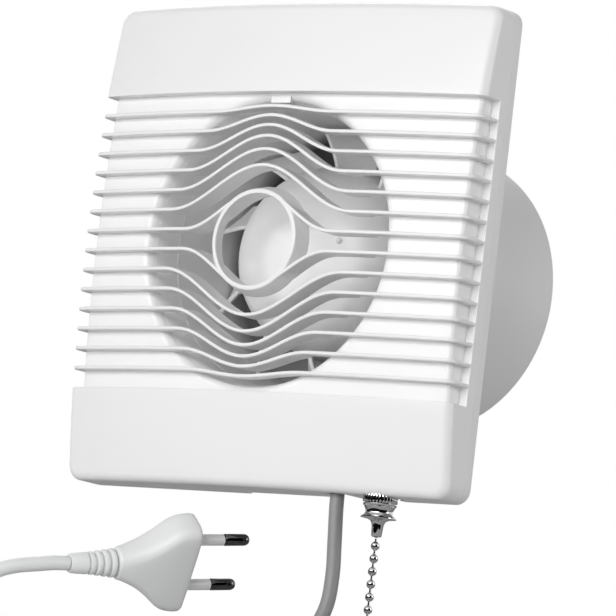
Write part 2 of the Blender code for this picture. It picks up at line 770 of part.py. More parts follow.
def motor():
    """A shaded-pole motor behind the impeller, on the bracket in the duct."""
    bore = SHAFT_RADIUS + GAP
    seat = BEARING_RADIUS + GAP
    inside = CASE_RADIUS - CASE_WALL
    floor = CASE_REAR - CASE_WALL
    collar = floor - 0.0018
    profile = [(seat, CASE_REAR), (CASE_RADIUS, CASE_REAR)]
    profile += [(CASE_RADIUS, CASE_FRONT + CASE_FLANGE)]
    profile += [(BRACKET_RADIUS, CASE_FRONT + CASE_FLANGE), (BRACKET_RADIUS, CASE_FRONT)]
    profile += [(inside, CASE_FRONT), (inside, floor), (seat + 0.002, floor)]
    profile += [(seat + 0.002, collar), (seat, collar)]
    case = along_duct(turned("motor_case", profile, MEDIUM, closed=True))
    for number in range(SPOKE_COUNT):
        angle = SPOKE_ANGLE + 2 * math.pi * (number + 0.5) / SPOKE_COUNT
        x, z = polar(MOTOR_SCREW_CIRCLE, angle)
        hole = rod(
            "case_hole",
            MOTOR_SCREW_RADIUS + GAP,
            (x, CASE_FRONT - 0.005, z),
            (x, CASE_FRONT + 0.005, z),
        )
        cut(case, helper(hole))
        head = BRACKET_Y - GAP
        screw = turned(
            f"motor_screw_{number + 1}",
            [
                (0.0, CASE_FRONT + CASE_FLANGE + 0.001),
                (MOTOR_SCREW_RADIUS, CASE_FRONT + CASE_FLANGE + 0.001),
                (MOTOR_SCREW_RADIUS, head),
                (MOTOR_SCREW_RADIUS * 1.6, head),
                (MOTOR_SCREW_RADIUS * 1.6, head - 0.0009),
                (MOTOR_SCREW_RADIUS, head - 0.0015),
                (0.0, head - 0.0015),
            ],
            10,
        )
        screw.location = (x, 0.0, z)
        finish(along_duct(screw), STEEL, 0.3, 1.0)
    finish(case, STEEL, 0.4, 1.0)
    ring_piece("stator_core", STATOR_BORE, inside - GAP, CORE_FRONT, CORE_REAR, STEEL, 0.5, 1.0)
    for name, low in (
        ("front_winding", CORE_FRONT - GAP - WINDING_LENGTH),
        ("rear_winding", CORE_REAR + GAP),
    ):
        first = STATOR_BORE + 0.001
        high = low + WINDING_LENGTH
        ring_piece(name, first, first + WINDING_SPAN, low, high, COPPER, 0.4, 0.8)
    for name, low in (
        ("front_bearing", BRACKET_Y + GAP),
        ("rear_bearing", CASE_REAR - GAP - BEARING_LENGTH),
    ):
        high = low + BEARING_LENGTH
        ring_piece(name, bore, BEARING_RADIUS, low, high, BRASS, 0.3, 1.0, COARSE)
    ring_piece("rotor_core", bore, ROTOR_RADIUS, CORE_FRONT, CORE_REAR, STEEL, 0.5, 1.0)
    ring_piece(
        "shaft_collar", bore, 0.004, BOSS_REAR + GAP, BRACKET_Y - GAP, OFF_WHITE, 0.5, 0.0, COARSE
    )
    shaft = rod(
        "motor_shaft", SHAFT_RADIUS, (0, SHAFT_FRONT, 0), (0, CASE_REAR - 2 * GAP, 0)
    )
    finish(shaft, STEEL, 0.2, 1.0)


def terminal_block():
    half = Vector(BLOCK_SIZE) / 2
    centre = Vector(BLOCK_CENTRE)
    block = box("terminal_block", centre - half, centre + half, bevel=0.0004)
    finish(block, OFF_WHITE, 0.5)
    front = centre.y - half.y - GAP
    for number in range(TERMINAL_COUNT):
        across = (number - (TERMINAL_COUNT - 1) / 2) * BLOCK_SIZE[0] / TERMINAL_COUNT
        place = (centre.x + across, front, centre.z)
        end = (centre.x + across, front - 0.001, centre.z)
        screw = rod(f"terminal_screw_{number + 1}", 0.0017, place, end)
        finish(screw, BRASS, 0.3, 1.0)


def cable_clamp():
    """The bar that holds the lead on its saddle, with its two screws."""
    length, depth, height = CLAMP_SIZE
    back = BOSS_TOP - GAP
    clamp = box(
        "cable_clamp",
        (CABLE_X - length / 2, back - depth, CLAMP_Z - height / 2),
        (CABLE_X + length / 2, back, CLAMP_Z + height / 2),
    )
    head = back - depth - GAP
    for number, side in enumerate((-1, 1)):
        x = CABLE_X + side * CLAMP_REACH
        start, end = (x, back + 0.01, CLAMP_Z), (x, back - 0.01, CLAMP_Z)
        cut(clamp, helper(rod("clamp_hole", 0.0014, start, end)))
        tip = BOSS_TOP + CLAMP_SCREW_REACH - GAP
        screw = turned(
            f"clamp_screw_{number + 1}",
            [(0.0, tip), (0.0011, tip), (0.0011, head), (0.002, head), (0.002, head - 0.001)]
            + [(0.0, head - 0.001)],
            10,
        )
        screw.location = (x, 0.0, CLAMP_Z)
        finish(along_duct(screw), STEEL, 0.3, 1.0)
    return finish(clamp, OFF_WHITE, 0.5)


def cable_grommet():
    """A soft bush in the cover's slot, which the lead passes through."""
    low = UNDERSIDE - GAP
    high = UNDERSIDE + COVER_WALL + 4 * GAP
    bore = CABLE_DIAMETER / 2 + GAP
    profile = [(bore, high + 0.001), (GROMMET_RADIUS + 0.0014, high + 0.001)]
    profile += [(GROMMET_RADIUS + 0.0014, high), (GROMMET_RADIUS, high)]
    profile += [(GROMMET_RADIUS, low), (bore, low)]
    bush = turned("cable_grommet", profile, COARSE, closed=True)
    bush.location = (CABLE_X, CABLE_Y, 0.0)
    return finish(bush, LEAD_GREY, 0.6)


def catmull(points, spacing):
    """Even points on a smooth curve through the given ones."""
    route = [Vector(p) for p in points]
    route = [2 * route[0] - route[1]] + route + [2 * route[-1] - route[-2]]
    fine = []
    for a, b, c, d in zip(route, route[1:], route[2:], route[3:]):
        for step in range(24):
            t = step / 24
            fine.append(
                0.5
                * (
                    2 * b
                    + (c - a) * t
                    + (2 * a - 5 * b + 4 * c - d) * t**2
                    + (3 * b - 3 * c + d - a) * t**3
                )
            )
    fine.append(route[-2])
    lengths = [0.0]
    for a, b in zip(fine, fine[1:]):
        lengths.append(lengths[-1] + (b - a).length)
    count = max(2, round(lengths[-1] / spacing))
    made = []
    at = 0
    for step in range(count + 1):
        wanted = lengths[-1] * step / count
        while at < len(fine) - 2 and lengths[at + 1] < wanted:
            at += 1
        share = (wanted - lengths[at]) / (lengths[at + 1] - lengths[at])
        made.append(fine[at].lerp(fine[at + 1], share))
    return made


def tube(name, points, diameter, colour, roughness=0.5, resolution=2):
    """A cord or wire: a curve with a round section and closed ends."""
    curve = bpy.data.curves.new(name, "CURVE")
    curve.dimensions = "3D"
    curve.bevel_depth = diameter / 2
    curve.bevel_resolution = resolution
    curve.use_fill_caps = True
    spline = curve.splines.new("POLY")
    spline.points.add(len(points) - 1)
    for point, place in zip(spline.points, points):
        point.co = (*place, 1.0)
    obj = bpy.data.objects.new(name, curve)
    PARTS.objects.link(obj)
    return finish(obj, colour, roughness)


def coil_points():
    """The stored turns: in towards the middle in one layer, then out again in the layer before it."""
    centre = Vector(COIL_CENTRE)
    middle = COIL_TURNS / 2
    inner = COIL_OUTER - COIL_PITCH * middle
    count = round(COIL_TURNS * COIL_POINTS)
    points = []
    for step in range(count + 1):
        turn = COIL_TURNS * step / count
        radius = inner + COIL_PITCH * abs(turn - middle)
        angle = -2 * math.pi * turn
        share = max(0.0, min(1.0, (turn - middle) / 0.5 + 0.5))
        climb = share * share * (3 - 2 * share)
        y = COIL_PITCH * (0.5 - climb)
        x, z = polar(radius, angle)
        points.append(centre + Vector((x, y, z)))
    first = points[0] + Vector((0.0, 0.0, CABLE_DIAMETER))
    last = points[-1] - Vector((CABLE_DIAMETER, 0.0, 0.0))
    return [first] + points + [last]


def least_gap(points, diameter):
    """The smallest gap between turns that lie apart along the cord."""
    apart = 3 * diameter
    along = [0.0]
    for a, b in zip(points, points[1:]):
        along.append(along[-1] + (b - a).length)
    least = 1.0
    for i, a in enumerate(points):
        for j in range(i + 1, len(points)):
            if along[j] - along[i] > apart:
                least = min(least, (points[j] - a).length - diameter)
    return least


COIL = coil_points()
PLUG_AXIS = Vector(
    (
        math.cos(PLUG_HEADING) * math.cos(PLUG_TILT),
        math.sin(PLUG_HEADING) * math.cos(PLUG_TILT),
        math.sin(PLUG_TILT),
    )
)
RELIEF_END = Vector(PLUG_FACE) - PLUG_AXIS * (PLUG_LENGTH + GAP + RELIEF_LENGTH + GAP)


def hanging(x, y, drop):
    """A place on the lead, this far below the cover's lower edge."""
    return (x, y, -HEIGHT / 2 - drop)


CABLE_ROUTE = [
    (CABLE_X, CABLE_Y, UNDERSIDE - GAP),
    hanging(0.0350, -0.0120, 0.0060),
    hanging(0.0358, -0.0120, 0.0160),
    hanging(0.0366, -0.0122, 0.0270),
    hanging(0.0364, -0.0138, 0.0380),
    hanging(0.0338, -0.0190, 0.0490),
    hanging(0.0284, -0.0262, 0.0600),
    hanging(0.0238, -0.0312, 0.0710),
    COIL[0] + Vector((0.0, 0.0, CABLE_DIAMETER / 2)),
    COIL[0] + Vector((0.0, 0.0, GAP)),
]
LEAD_ROUTE = [
    RELIEF_END,
    RELIEF_END - PLUG_AXIS * 0.008,
    hanging(-0.0470, -0.0830, 0.0385),
    hanging(-0.0570, -0.0930, 0.0530),
    hanging(-0.0640, -0.0930, 0.0740),
    hanging(-0.0640, -0.0830, 0.0960),
    hanging(-0.0580, -0.0650, 0.1140),
    hanging(-0.0450, -0.0470, 0.1220),
    hanging(-0.0310, -0.0390, 0.1220),
    COIL[-1] - Vector((CABLE_DIAMETER, 0.0, 0.0)),
    COIL[-1] - Vector((GAP, 0.0, 0.0)),
]


def mains_lead():
    """The lead: its run inside, the free stretch below the fan, the stored coil and the plug's end."""
    block_low = BLOCK_CENTRE[2] - BLOCK_SIZE[2] / 2
    start, end = (CABLE_X, CABLE_Y, block_low - GAP), (CABLE_X, CABLE_Y, UNDERSIDE)
    tube("inner_cable", [start, end], CABLE_DIAMETER, LEAD_GREY)
    spacing = 2 * CABLE_DIAMETER / 1.5
    tube("mains_cable", catmull(CABLE_ROUTE, spacing), CABLE_DIAMETER, LEAD_GREY)
    tube("plug_lead", catmull(LEAD_ROUTE, spacing), CABLE_DIAMETER, LEAD_GREY)
    tube("cable_coil", COIL, CABLE_DIAMETER, LEAD_GREY, resolution=1)
    print(f"least gap between the coil's turns: {1000 * least_gap(COIL, CABLE_DIAMETER):.2f} mm")


def coil_tie():
    """A strap round the bundle, at the coil's left."""
    centre = Vector(COIL_CENTRE)
    clear = CABLE_DIAMETER / 2 + 2 * GAP
    inner = COIL_OUTER - COIL_PITCH * COIL_TURNS / 2 - clear
    outer = COIL_OUTER - COIL_PITCH / 2 + clear
    deep = COIL_PITCH / 2 + clear
    half = TIE_WIDTH / 2
    low = Vector((centre.x - outer, centre.y - deep, centre.z - half))
    high = Vector((centre.x - inner, centre.y + deep, centre.z + half))
    wall = Vector((TIE_WALL, TIE_WALL, 0.0))
    tie = box("coil_tie", low - wall, high + wall)
    past = Vector((0.0, 0.0, half))
    cut(tie, helper(box("tie_inside", low - past, high + past)))
    return finish(tie, (0.05, 0.05, 0.05), 0.7)


def inner_wires():
    """The wires between terminals, switch and motor. They leave the terminal block at its top."""
    block_top = BLOCK_CENTRE[2] + BLOCK_SIZE[2] / 2 + GAP
    switch_top = SWITCH_TOP + GAP
    crest = max(block_top, switch_top) + WIRE_RISE
    for name, x, y, end_x, colour in (
        ("live_wire", BLOCK_X + 0.0022, -0.0090, SWITCH_X - 0.0025, (0.25, 0.10, 0.04)),
        ("switched_wire", BLOCK_X + 0.0050, -0.0125, SWITCH_X + 0.0028, (0.08, 0.12, 0.35)),
    ):
        rise = (end_x - x) / 4
        route = [(x, y, block_top), (x, y, crest - WIRE_RISE / 2), (x + rise, y, crest)]
        route += [(end_x - rise, y, crest), (end_x, y, crest - WIRE_RISE / 2), (end_x, y, switch_top)]
        tube(name, catmull(route, 0.0014), WIRE_DIAMETER, colour, resolution=1)
    run = DUCT_RADIUS - DUCT_WALL + GROOVE_DEPTH / 2 - 0.0001
    leave = BLOCK_X - BLOCK_SIZE[0] / 3

    def at(radius, y):
        x, z = polar(radius, SPOKE_ANGLE)
        return (x, y, z)

    flange_front = -PLATE_THICKNESS - GAP - FLANGE_THICKNESS
    before = flange_front - 2 * MOTOR_LEAD_DIAMETER / 1.5
    over = CASE_FRONT + CASE_FLANGE + MOTOR_LEAD_DIAMETER
    step = 0.0034
    lead = [(leave, before, block_top), (leave, before, block_top + step)]
    lead += [at(DUCT_RADIUS + 0.0010, before)]
    lead += [at(run, flange_front), at(run, 0.0), at(run, 0.02), at(run, BRACKET_REAR - 0.002)]
    lead += [at(DUCT_RADIUS - 0.0035, over - 0.0003), at(DUCT_RADIUS - 0.0090, over)]
    lead += [at(CASE_RADIUS + 0.003, over), at(CASE_RADIUS + GAP, over)]
    tube("motor_lead", catmull(lead, step), MOTOR_LEAD_DIAMETER, (0.6, 0.6, 0.6), resolution=1)


SWITCH_LOW = -HEIGHT / 2 - DRAFT * SWITCH_Y + COVER_WALL + SWITCH_RAISE
SWITCH_TOP = SWITCH_LOW + SWITCH_SIZE[1]
COLLAR_TOP = SWITCH_TOP - COLLAR_DROP
COLLAR_LENGTH = 0.0015
STEM_TOP = SWITCH_LOW - GAP
NUT_TOP = -HEIGHT / 2 - DRAFT * SWITCH_Y - GAP
NUT_LOW = NUT_TOP - NUT_LENGTH
BELL_TOP = NUT_LOW - GAP
BELL_LOW = BELL_TOP - BELL_LENGTH
ROD_LOW = BELL_LOW - GAP
CHAIN_TOP = ROD_LOW - GAP
PIVOT = (SWITCH_X - 0.0034, SWITCH_Y, COLLAR_TOP + 0.0024)
ROCKER_HALF = 0.002


def switch_body():
    """The pull switch's moulded case, open towards the wall plate."""
    half = SWITCH_SIZE[0] / 2
    back = -PLATE_THICKNESS - GAP
    body = box(
        "switch_body",
        (SWITCH_X - half, SWITCH_FRONT, SWITCH_LOW),
        (SWITCH_X + half, back, SWITCH_TOP),
    )
    inside = box(
        "switch_inside",
        (SWITCH_X - half + SWITCH_WALL, SWITCH_FRONT + SWITCH_WALL, SWITCH_LOW + SWITCH_WALL),
        (SWITCH_X + half - SWITCH_WALL, back + 0.01, SWITCH_TOP - SWITCH_WALL),
    )
    start = (SWITCH_X, SWITCH_Y, SWITCH_LOW - 0.001)
    end = (SWITCH_X, SWITCH_Y, SWITCH_LOW + 2 * SWITCH_WALL)
    cut(body, helper(inside), helper(rod("rod_hole", STEM_BORE, start, end)))
    return finish(body, OFF_WHITE, 0.5)


def upright(name, profile, colour, roughness, metallic, steps=COARSE, closed=False):
    piece = turned(name, profile, steps, closed)
    piece.location = (SWITCH_X, SWITCH_Y, 0.0)
    return finish(piece, colour, roughness, metallic)


def switch_fittings():
    """The threaded stem, its knurled nut and the bell that guides the chain, all plated."""
    upright(
        "switch_stem", hollow(STEM_BORE, STEM_RADIUS, NUT_LOW, STEM_TOP), STEEL, 0.2, 1.0, closed=True
    )
    bore = STEM_RADIUS + GAP
    groove = NUT_TOP - NUT_LENGTH * 0.75
    nut = [(bore, NUT_TOP), (NUT_RADIUS, NUT_TOP), (NUT_RADIUS, groove)]
    nut += [(NUT_RADIUS * 0.94, groove - 0.0002), (NUT_RADIUS * 0.94, groove - 0.0005)]
    nut += [(NUT_RADIUS * 0.985, groove - 0.0007), (NUT_RADIUS * 0.96, NUT_LOW), (bore, NUT_LOW)]
    upright("switch_nut", nut, STEEL, 0.15, 1.0, 20, closed=True)
    rim = BELL_TOP - 0.0035
    bell = [(STEM_BORE, BELL_TOP), (NUT_RADIUS * 0.9, BELL_TOP)]
    bell += [(NUT_RADIUS * 0.82, BELL_TOP - 0.0010), (NUT_RADIUS * 0.80, BELL_TOP - 0.0020)]
    bell += [(BELL_RIM * 0.9, rim + 0.0005), (BELL_RIM, rim), (BELL_RIM * 0.97, rim - 0.0004)]
    bell += [(BELL_RIM * 0.55, rim - 0.0009), (0.0023, rim - 0.0016), (0.00205, rim - 0.0024)]
    bell += [(0.0017, BELL_LOW), (STEM_BORE, BELL_LOW)]
    upright("switch_bell", bell, STEEL, 0.15, 1.0, COARSE, closed=True)


def pull_switch():
    """What moves in the switch: the rod with its collar, the rocker above it, and the spring below."""
    collar_low = COLLAR_TOP - COLLAR_LENGTH
    rod_profile = [(0.0, COLLAR_TOP), (COLLAR_RADIUS, COLLAR_TOP), (COLLAR_RADIUS, collar_low)]
    rod_profile += [(ROD_RADIUS, collar_low), (ROD_RADIUS, ROD_LOW), (0.0, ROD_LOW)]
    upright("pull_rod", rod_profile, STEEL, 0.3, 1.0, 12)
    spring = hollow(
        ROD_RADIUS + 2 * GAP, COLLAR_RADIUS, SWITCH_LOW + SWITCH_WALL + GAP, collar_low - GAP
    )
    upright("switch_spring", spring, STEEL, 0.3, 1.0, 12, closed=True)
    hub = rod(
        "switch_rocker",
        0.0018,
        (PIVOT[0], PIVOT[1] - ROCKER_HALF, PIVOT[2]),
        (PIVOT[0], PIVOT[1] + ROCKER_HALF, PIVOT[2]),
    )
    arm = box(
        "rocker_arm",
        (PIVOT[0] + 0.0006, PIVOT[1] - ROCKER_HALF + GAP, PIVOT[2] - 0.0015),
        (SWITCH_X + COLLAR_RADIUS, PIVOT[1] + ROCKER_HALF - GAP, PIVOT[2] + 0.0002),
    )
    pin_front = (PIVOT[0], SWITCH_FRONT + SWITCH_WALL + GAP, PIVOT[2])
    pin_back = (PIVOT[0], -PLATE_THICKNESS - 2 * GAP, PIVOT[2])
    bore = rod("rocker_bore", 0.0007 + GAP, (pin_front[0], -0.03, pin_front[2]), pin_back)
    join(hub, helper(arm))
    cut(hub, helper(bore))
    finish(hub, OFF_WHITE, 0.5)
    finish(rod("rocker_pin", 0.0007, pin_front, pin_back, 12), STEEL, 0.3, 1.0)


def pull_chain():
    """A ball chain on its wire, and the knob at its end."""
    radius = BEAD_DIAMETER / 2
    wire = BEAD_DIAMETER / 8
    first = CHAIN_TOP - (BEAD_PITCH - BEAD_DIAMETER) / 2 - radius - GAP
    profile = [(0.0, CHAIN_TOP), (wire, CHAIN_TOP)]
    for number in range(BEAD_COUNT):
        centre = first - number * BEAD_PITCH
        for degrees in (65, 30, 0, -30, -65):
            angle = math.radians(degrees)
            profile.append((radius * math.cos(angle), centre + radius * math.sin(angle)))
            if abs(degrees) == 65:
                profile[-1] = (wire * 1.6, centre + radius * math.sin(angle))
    low = first - BEAD_COUNT * BEAD_PITCH
    profile += [(wire, low), (0.0, low)]
    upright("pull_chain", profile, STEEL, 0.2, 1.0, 8)
    top = low - GAP
    knob = [(0.0, top), (KNOB_RADIUS * 0.45, top), (KNOB_RADIUS * 0.6, top - KNOB_LENGTH * 0.2)]
    knob += [(KNOB_RADIUS * 0.9, top - KNOB_LENGTH * 0.55), (KNOB_RADIUS, top - KNOB_LENGTH * 0.8)]
    knob += [(KNOB_RADIUS * 0.85, top - KNOB_LENGTH * 0.95), (0.0, top - KNOB_LENGTH)]
    upright("chain_knob", knob, WHITE, 0.3, 0.0, 16)


def plug_frame():
    """An empty in the middle of the plug's face, with X along the pins."""
    axis = PLUG_AXIS
    across = Vector((0.0, 0.0, 1.0)).cross(axis).normalized()
    across = Matrix.Rotation(PLUG_ROLL, 3, axis) @ across
    through = axis.cross(across)
    basis = Matrix((axis, across, through)).transposed().to_4x4()
    frame = bpy.data.objects.new("plug_frame", None)
    PARTS.objects.link(frame)
    frame.matrix_world = Matrix.Translation(PLUG_FACE) @ basis
    return frame


def plug():
    """A flat two-pin plug: moulded body, ribbed relief, two sleeved pins."""
    frame = plug_frame()
    stations = (
        (-PLUG_LENGTH, 0.30, 0.74),
        (-PLUG_LENGTH * 0.88, 0.33, 0.78),
        (-PLUG_LENGTH * 0.70, 0.44, 0.86),
        (-PLUG_LENGTH * 0.52, 0.64, 0.93),
        (-PLUG_LENGTH * 0.38, 0.85, 0.98),
        (-PLUG_LENGTH * 0.26, 0.97, 1.0),
        (-PLUG_LENGTH * 0.04, 1.0, 1.0),
        (0.0, 0.96, 0.92),
    )
    rings = []
    for x, wide, thick in stations:
        half_thickness = PLUG_THICKNESS / 2 * thick
        points = rounded(PLUG_WIDTH / 2 * wide, half_thickness, half_thickness * 0.7)
        rings.append([(x, y, z) for y, z in points])
    body = finish(loft("plug_body", rings), OFF_WHITE, 0.45)
    start = -PLUG_LENGTH - GAP
    end = start - RELIEF_LENGTH
    profile = [(0.0, start)]
    for number in range(4):
        share = number / 4
        outer = 0.0048 - 0.0013 * share
        high = start - RELIEF_LENGTH * 0.62 * share
        low = high - RELIEF_LENGTH * 0.62 / 4 * 0.62
        profile += [(outer, high), (outer * 0.99, low), (outer * 0.8, low - 0.0001)]
        profile.append((outer * 0.78, start - RELIEF_LENGTH * 0.62 * (number + 1) / 4 + 0.0001))
    profile += [(0.0037, start - RELIEF_LENGTH * 0.62), (0.0031, end), (0.0, end)]
    relief = turned("plug_relief", profile, 12)
    relief.rotation_euler = (0.0, math.pi / 2, 0.0)
    finish(relief, OFF_WHITE, 0.45)
    pieces = [body, relief]
    for number, side in enumerate((-1, 1)):
        y = side * PIN_SPACING / 2
        sleeve_end = GAP + SLEEVE_LENGTH
        sleeve = rod(
            f"pin_sleeve_{number + 1}", PIN_DIAMETER / 2 * 0.95, (GAP, y, 0), (sleeve_end, y, 0)
        )
        finish(sleeve, WHITE, 0.4)
        tip_start = sleeve_end + GAP
        radius = PIN_DIAMETER / 2
        tip = turned(
            f"pin_tip_{number + 1}",
            [
                (0.0, tip_start + TIP_LENGTH),
                (radius * 0.5, tip_start + TIP_LENGTH),
                (radius * 0.88, tip_start + TIP_LENGTH - radius * 0.35),
                (radius, tip_start + TIP_LENGTH - radius),
                (radius, tip_start),
                (0.0, tip_start),
            ],
            COARSE,
        )
        tip.rotation_euler = (0.0, math.pi / 2, 0.0)
        tip.location = (0.0, y, 0.0)
        finish(tip, STEEL, 0.25, 1.0)
        pieces += [sleeve, tip]
    for piece in pieces:
        piece.parent = frame


wall_plate()
duct_spigot()
front_cover()
impeller()
motor()
terminal_block()
cable_clamp()
cable_grommet()
inner_wires()
switch_body()
switch_fittings()
pull_switch()
pull_chain()
mains_lead()
coil_tie()
plug()
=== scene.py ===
import math

import bmesh
import bpy
from mathutils import Matrix, Vector


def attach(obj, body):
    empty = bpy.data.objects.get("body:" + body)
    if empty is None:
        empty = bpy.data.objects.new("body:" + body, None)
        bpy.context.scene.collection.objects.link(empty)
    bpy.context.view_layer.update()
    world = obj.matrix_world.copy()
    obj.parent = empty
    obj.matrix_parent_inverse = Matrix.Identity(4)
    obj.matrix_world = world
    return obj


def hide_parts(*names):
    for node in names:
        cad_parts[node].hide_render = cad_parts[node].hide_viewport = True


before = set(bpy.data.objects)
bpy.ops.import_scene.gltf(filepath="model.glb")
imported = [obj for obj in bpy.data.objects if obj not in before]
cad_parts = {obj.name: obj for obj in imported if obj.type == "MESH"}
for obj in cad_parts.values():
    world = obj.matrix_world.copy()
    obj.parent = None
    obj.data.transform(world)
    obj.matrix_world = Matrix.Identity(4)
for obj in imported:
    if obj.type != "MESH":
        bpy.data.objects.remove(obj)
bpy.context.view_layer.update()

# The studio: a long lens to the right of the fan and a little below it. A wide soft lamp stands in
# front and a little above, with weaker ones on the left, on the right and behind. The room is white,
# the floor is pale paper, and dark boards that show only in reflections are there for the plated metal.
CAMERA_PLACE = (0.9496, -1.2795, -0.2118)
CAMERA_RIGHT = (0.80744, 0.57868, 0.11474)
CAMERA_UP = (-0.02179, -0.1651, 0.98604)
CAMERA_BACK = (0.58954, -0.79867, -0.1207)
LENS = 278.854
FLOOR_HEIGHT = -0.45
AMBIENT = 0.02
PAPER_GREY = 0.62
PAPER_GLOW = 0.42
BOARD_TARGET = Vector((0.05, 0.0, -0.1))
BOARDS = (
    ((0.9, -0.3, -0.2), 1.1, 1.6),
    ((-0.9, -0.5, -0.2), 1.0, 1.6),
    ((0.1, -0.6, -0.44), 2.0, 1.3),
)

scene = bpy.context.scene
scene.view_settings.view_transform = "Standard"
lens = bpy.data.cameras.new("camera")
lens.lens = LENS
lens.sensor_width = 36.0
lens.clip_start = 0.05
camera = bpy.data.objects.new("camera", lens)
scene.collection.objects.link(camera)
turn = Matrix((CAMERA_RIGHT, CAMERA_UP, CAMERA_BACK)).transposed().to_4x4()
camera.matrix_world = Matrix.Translation(CAMERA_PLACE) @ turn
scene.camera = camera


def lamp(name, place, wide, high, power):
    """A soft rectangular lamp that points at the fan."""
    light = bpy.data.lights.new(name, "AREA")
    light.shape = "RECTANGLE"
    light.size = wide
    light.size_y = high
    light.energy = power
    holder = bpy.data.objects.new(name, light)
    scene.collection.objects.link(holder)
    holder.location = place
    holder.rotation_mode = "QUATERNION"
    holder.rotation_quaternion = (-Vector(place)).to_track_quat("-Z", "Y")


lamp("front_lamp", (0.3, -2.33, 0.45), 2.0, 1.1, 41.0)
lamp("left_lamp", (-1.37, -1.96, 0.31), 2.0, 1.3, 13.0)
lamp("right_lamp", (2.25, 0.45, 0.6), 1.3, 1.3, 18.0)
lamp("rear_lamp", (-0.9, 1.2, 1.9), 1.3, 1.3, 14.0)


def seen_by(tree, rays, grey, seen):
    """A grey for a world or floor, and another one where the named kinds of ray meet it."""
    path = tree.nodes.new("ShaderNodeLightPath")
    hit = path.outputs[rays[0]]
    for ray in rays[1:]:
        either = tree.nodes.new("ShaderNodeMath")
        either.operation = "MAXIMUM"
        tree.links.new(hit, either.inputs[0])
        tree.links.new(path.outputs[ray], either.inputs[1])
        hit = either.outputs[0]
    mix = tree.nodes.new("ShaderNodeMixRGB")
    mix.inputs["Color1"].default_value = (grey, grey, grey, 1.0)
    mix.inputs["Color2"].default_value = (seen, seen, seen, 1.0)
    tree.links.new(hit, mix.inputs["Fac"])
    return mix.outputs["Color"]


world = bpy.data.worlds.new("room")
world.use_nodes = True
scene.world = world
sky = world.node_tree.nodes["Background"]
mirrored = ("Is Camera Ray", "Is Glossy Ray", "Is Transmission Ray")
white = seen_by(world.node_tree, mirrored, AMBIENT, 1.0)
world.node_tree.links.new(white, sky.inputs["Color"])

bpy.ops.mesh.primitive_plane_add(size=12.0, location=(0.0, 0.0, FLOOR_HEIGHT))
floor = bpy.context.object
floor.name = "floor"
paper = bpy.data.materials.new("pale_paper")
paper.use_nodes = True
sheet = paper.node_tree.nodes["Principled BSDF"]
sheet.inputs["Base Color"].default_value = (PAPER_GREY, PAPER_GREY, PAPER_GREY, 1.0)
sheet.inputs["Roughness"].default_value = 0.9
sheet.inputs["Emission Strength"].default_value = 1.0
glow = seen_by(paper.node_tree, ("Is Camera Ray",), 0.0, PAPER_GLOW)
paper.node_tree.links.new(glow, sheet.inputs["Emission Color"])
floor.data.materials.append(paper)

black = bpy.data.materials.new("black_board")
black.use_nodes = True
matt = black.node_tree.nodes["Principled BSDF"]
matt.inputs["Base Color"].default_value = (0.01, 0.01, 0.01, 1.0)
matt.inputs["Specular IOR Level"].default_value = 0.0
for number, (place, wide, high) in enumerate(BOARDS, 1):
    bpy.ops.mesh.primitive_plane_add(size=1.0, location=place)
    board = bpy.context.object
    board.name = f"dark_board_{number}"
    board.scale = (wide, high, 1.0)
    board.rotation_mode = "QUATERNION"
    board.rotation_quaternion = (BOARD_TARGET - Vector(place)).to_track_quat("Z", "Y")
    board.visible_camera = False
    board.visible_diffuse = False
    board.visible_shadow = False
    board.visible_transmission = False
    board.data.materials.append(black)


# The wall plate is a flat white moulding, satin and faintly grained by the mould. Four screws through
# its corners hold it to the wall, and a low wall on its front locates the cover, which snaps over it.
WHITE = (0.86, 0.86, 0.86)
HALF_WIDTH = 0.079
HALF_HEIGHT = 0.082
CORNER = 0.005
PLATE = 0.0035
DUCT_OUTSIDE = 0.049
CLEARANCE = 0.0003
SEAM = 0.00005
FIXING = (0.062, 0.066)
FIXING_HOLE = 0.0023
SKIRT = 0.0079
COVER_WALL = 0.0022
LEAN = 0.01
FENCE_WALL = 0.0015
GATEWAY = (0.024, 0.0607)
NOTCH = (-0.009, 0.054, 0.0028)


class Reading:
    """A socket that carries a number, so that shader maths is written as Python."""

    def __init__(self, finish, socket):
        self.finish = finish
        self.socket = socket

    def work(self, operation, *others):
        inputs = dict(enumerate((self, *others)))
        return self.finish.node("ShaderNodeMath", {"operation": operation}, inputs)

    def __add__(self, other):
        return self.work("ADD", other)

    def __sub__(self, other):
        return self.work("SUBTRACT", other)

    def __rsub__(self, other):
        return self.work("MULTIPLY", -1.0).work("ADD", other)

    def __mul__(self, other):
        return self.work("MULTIPLY", other)

    def __gt__(self, other):
        return self.work("GREATER_THAN", other)

    __radd__ = __add__
    __rmul__ = __mul__


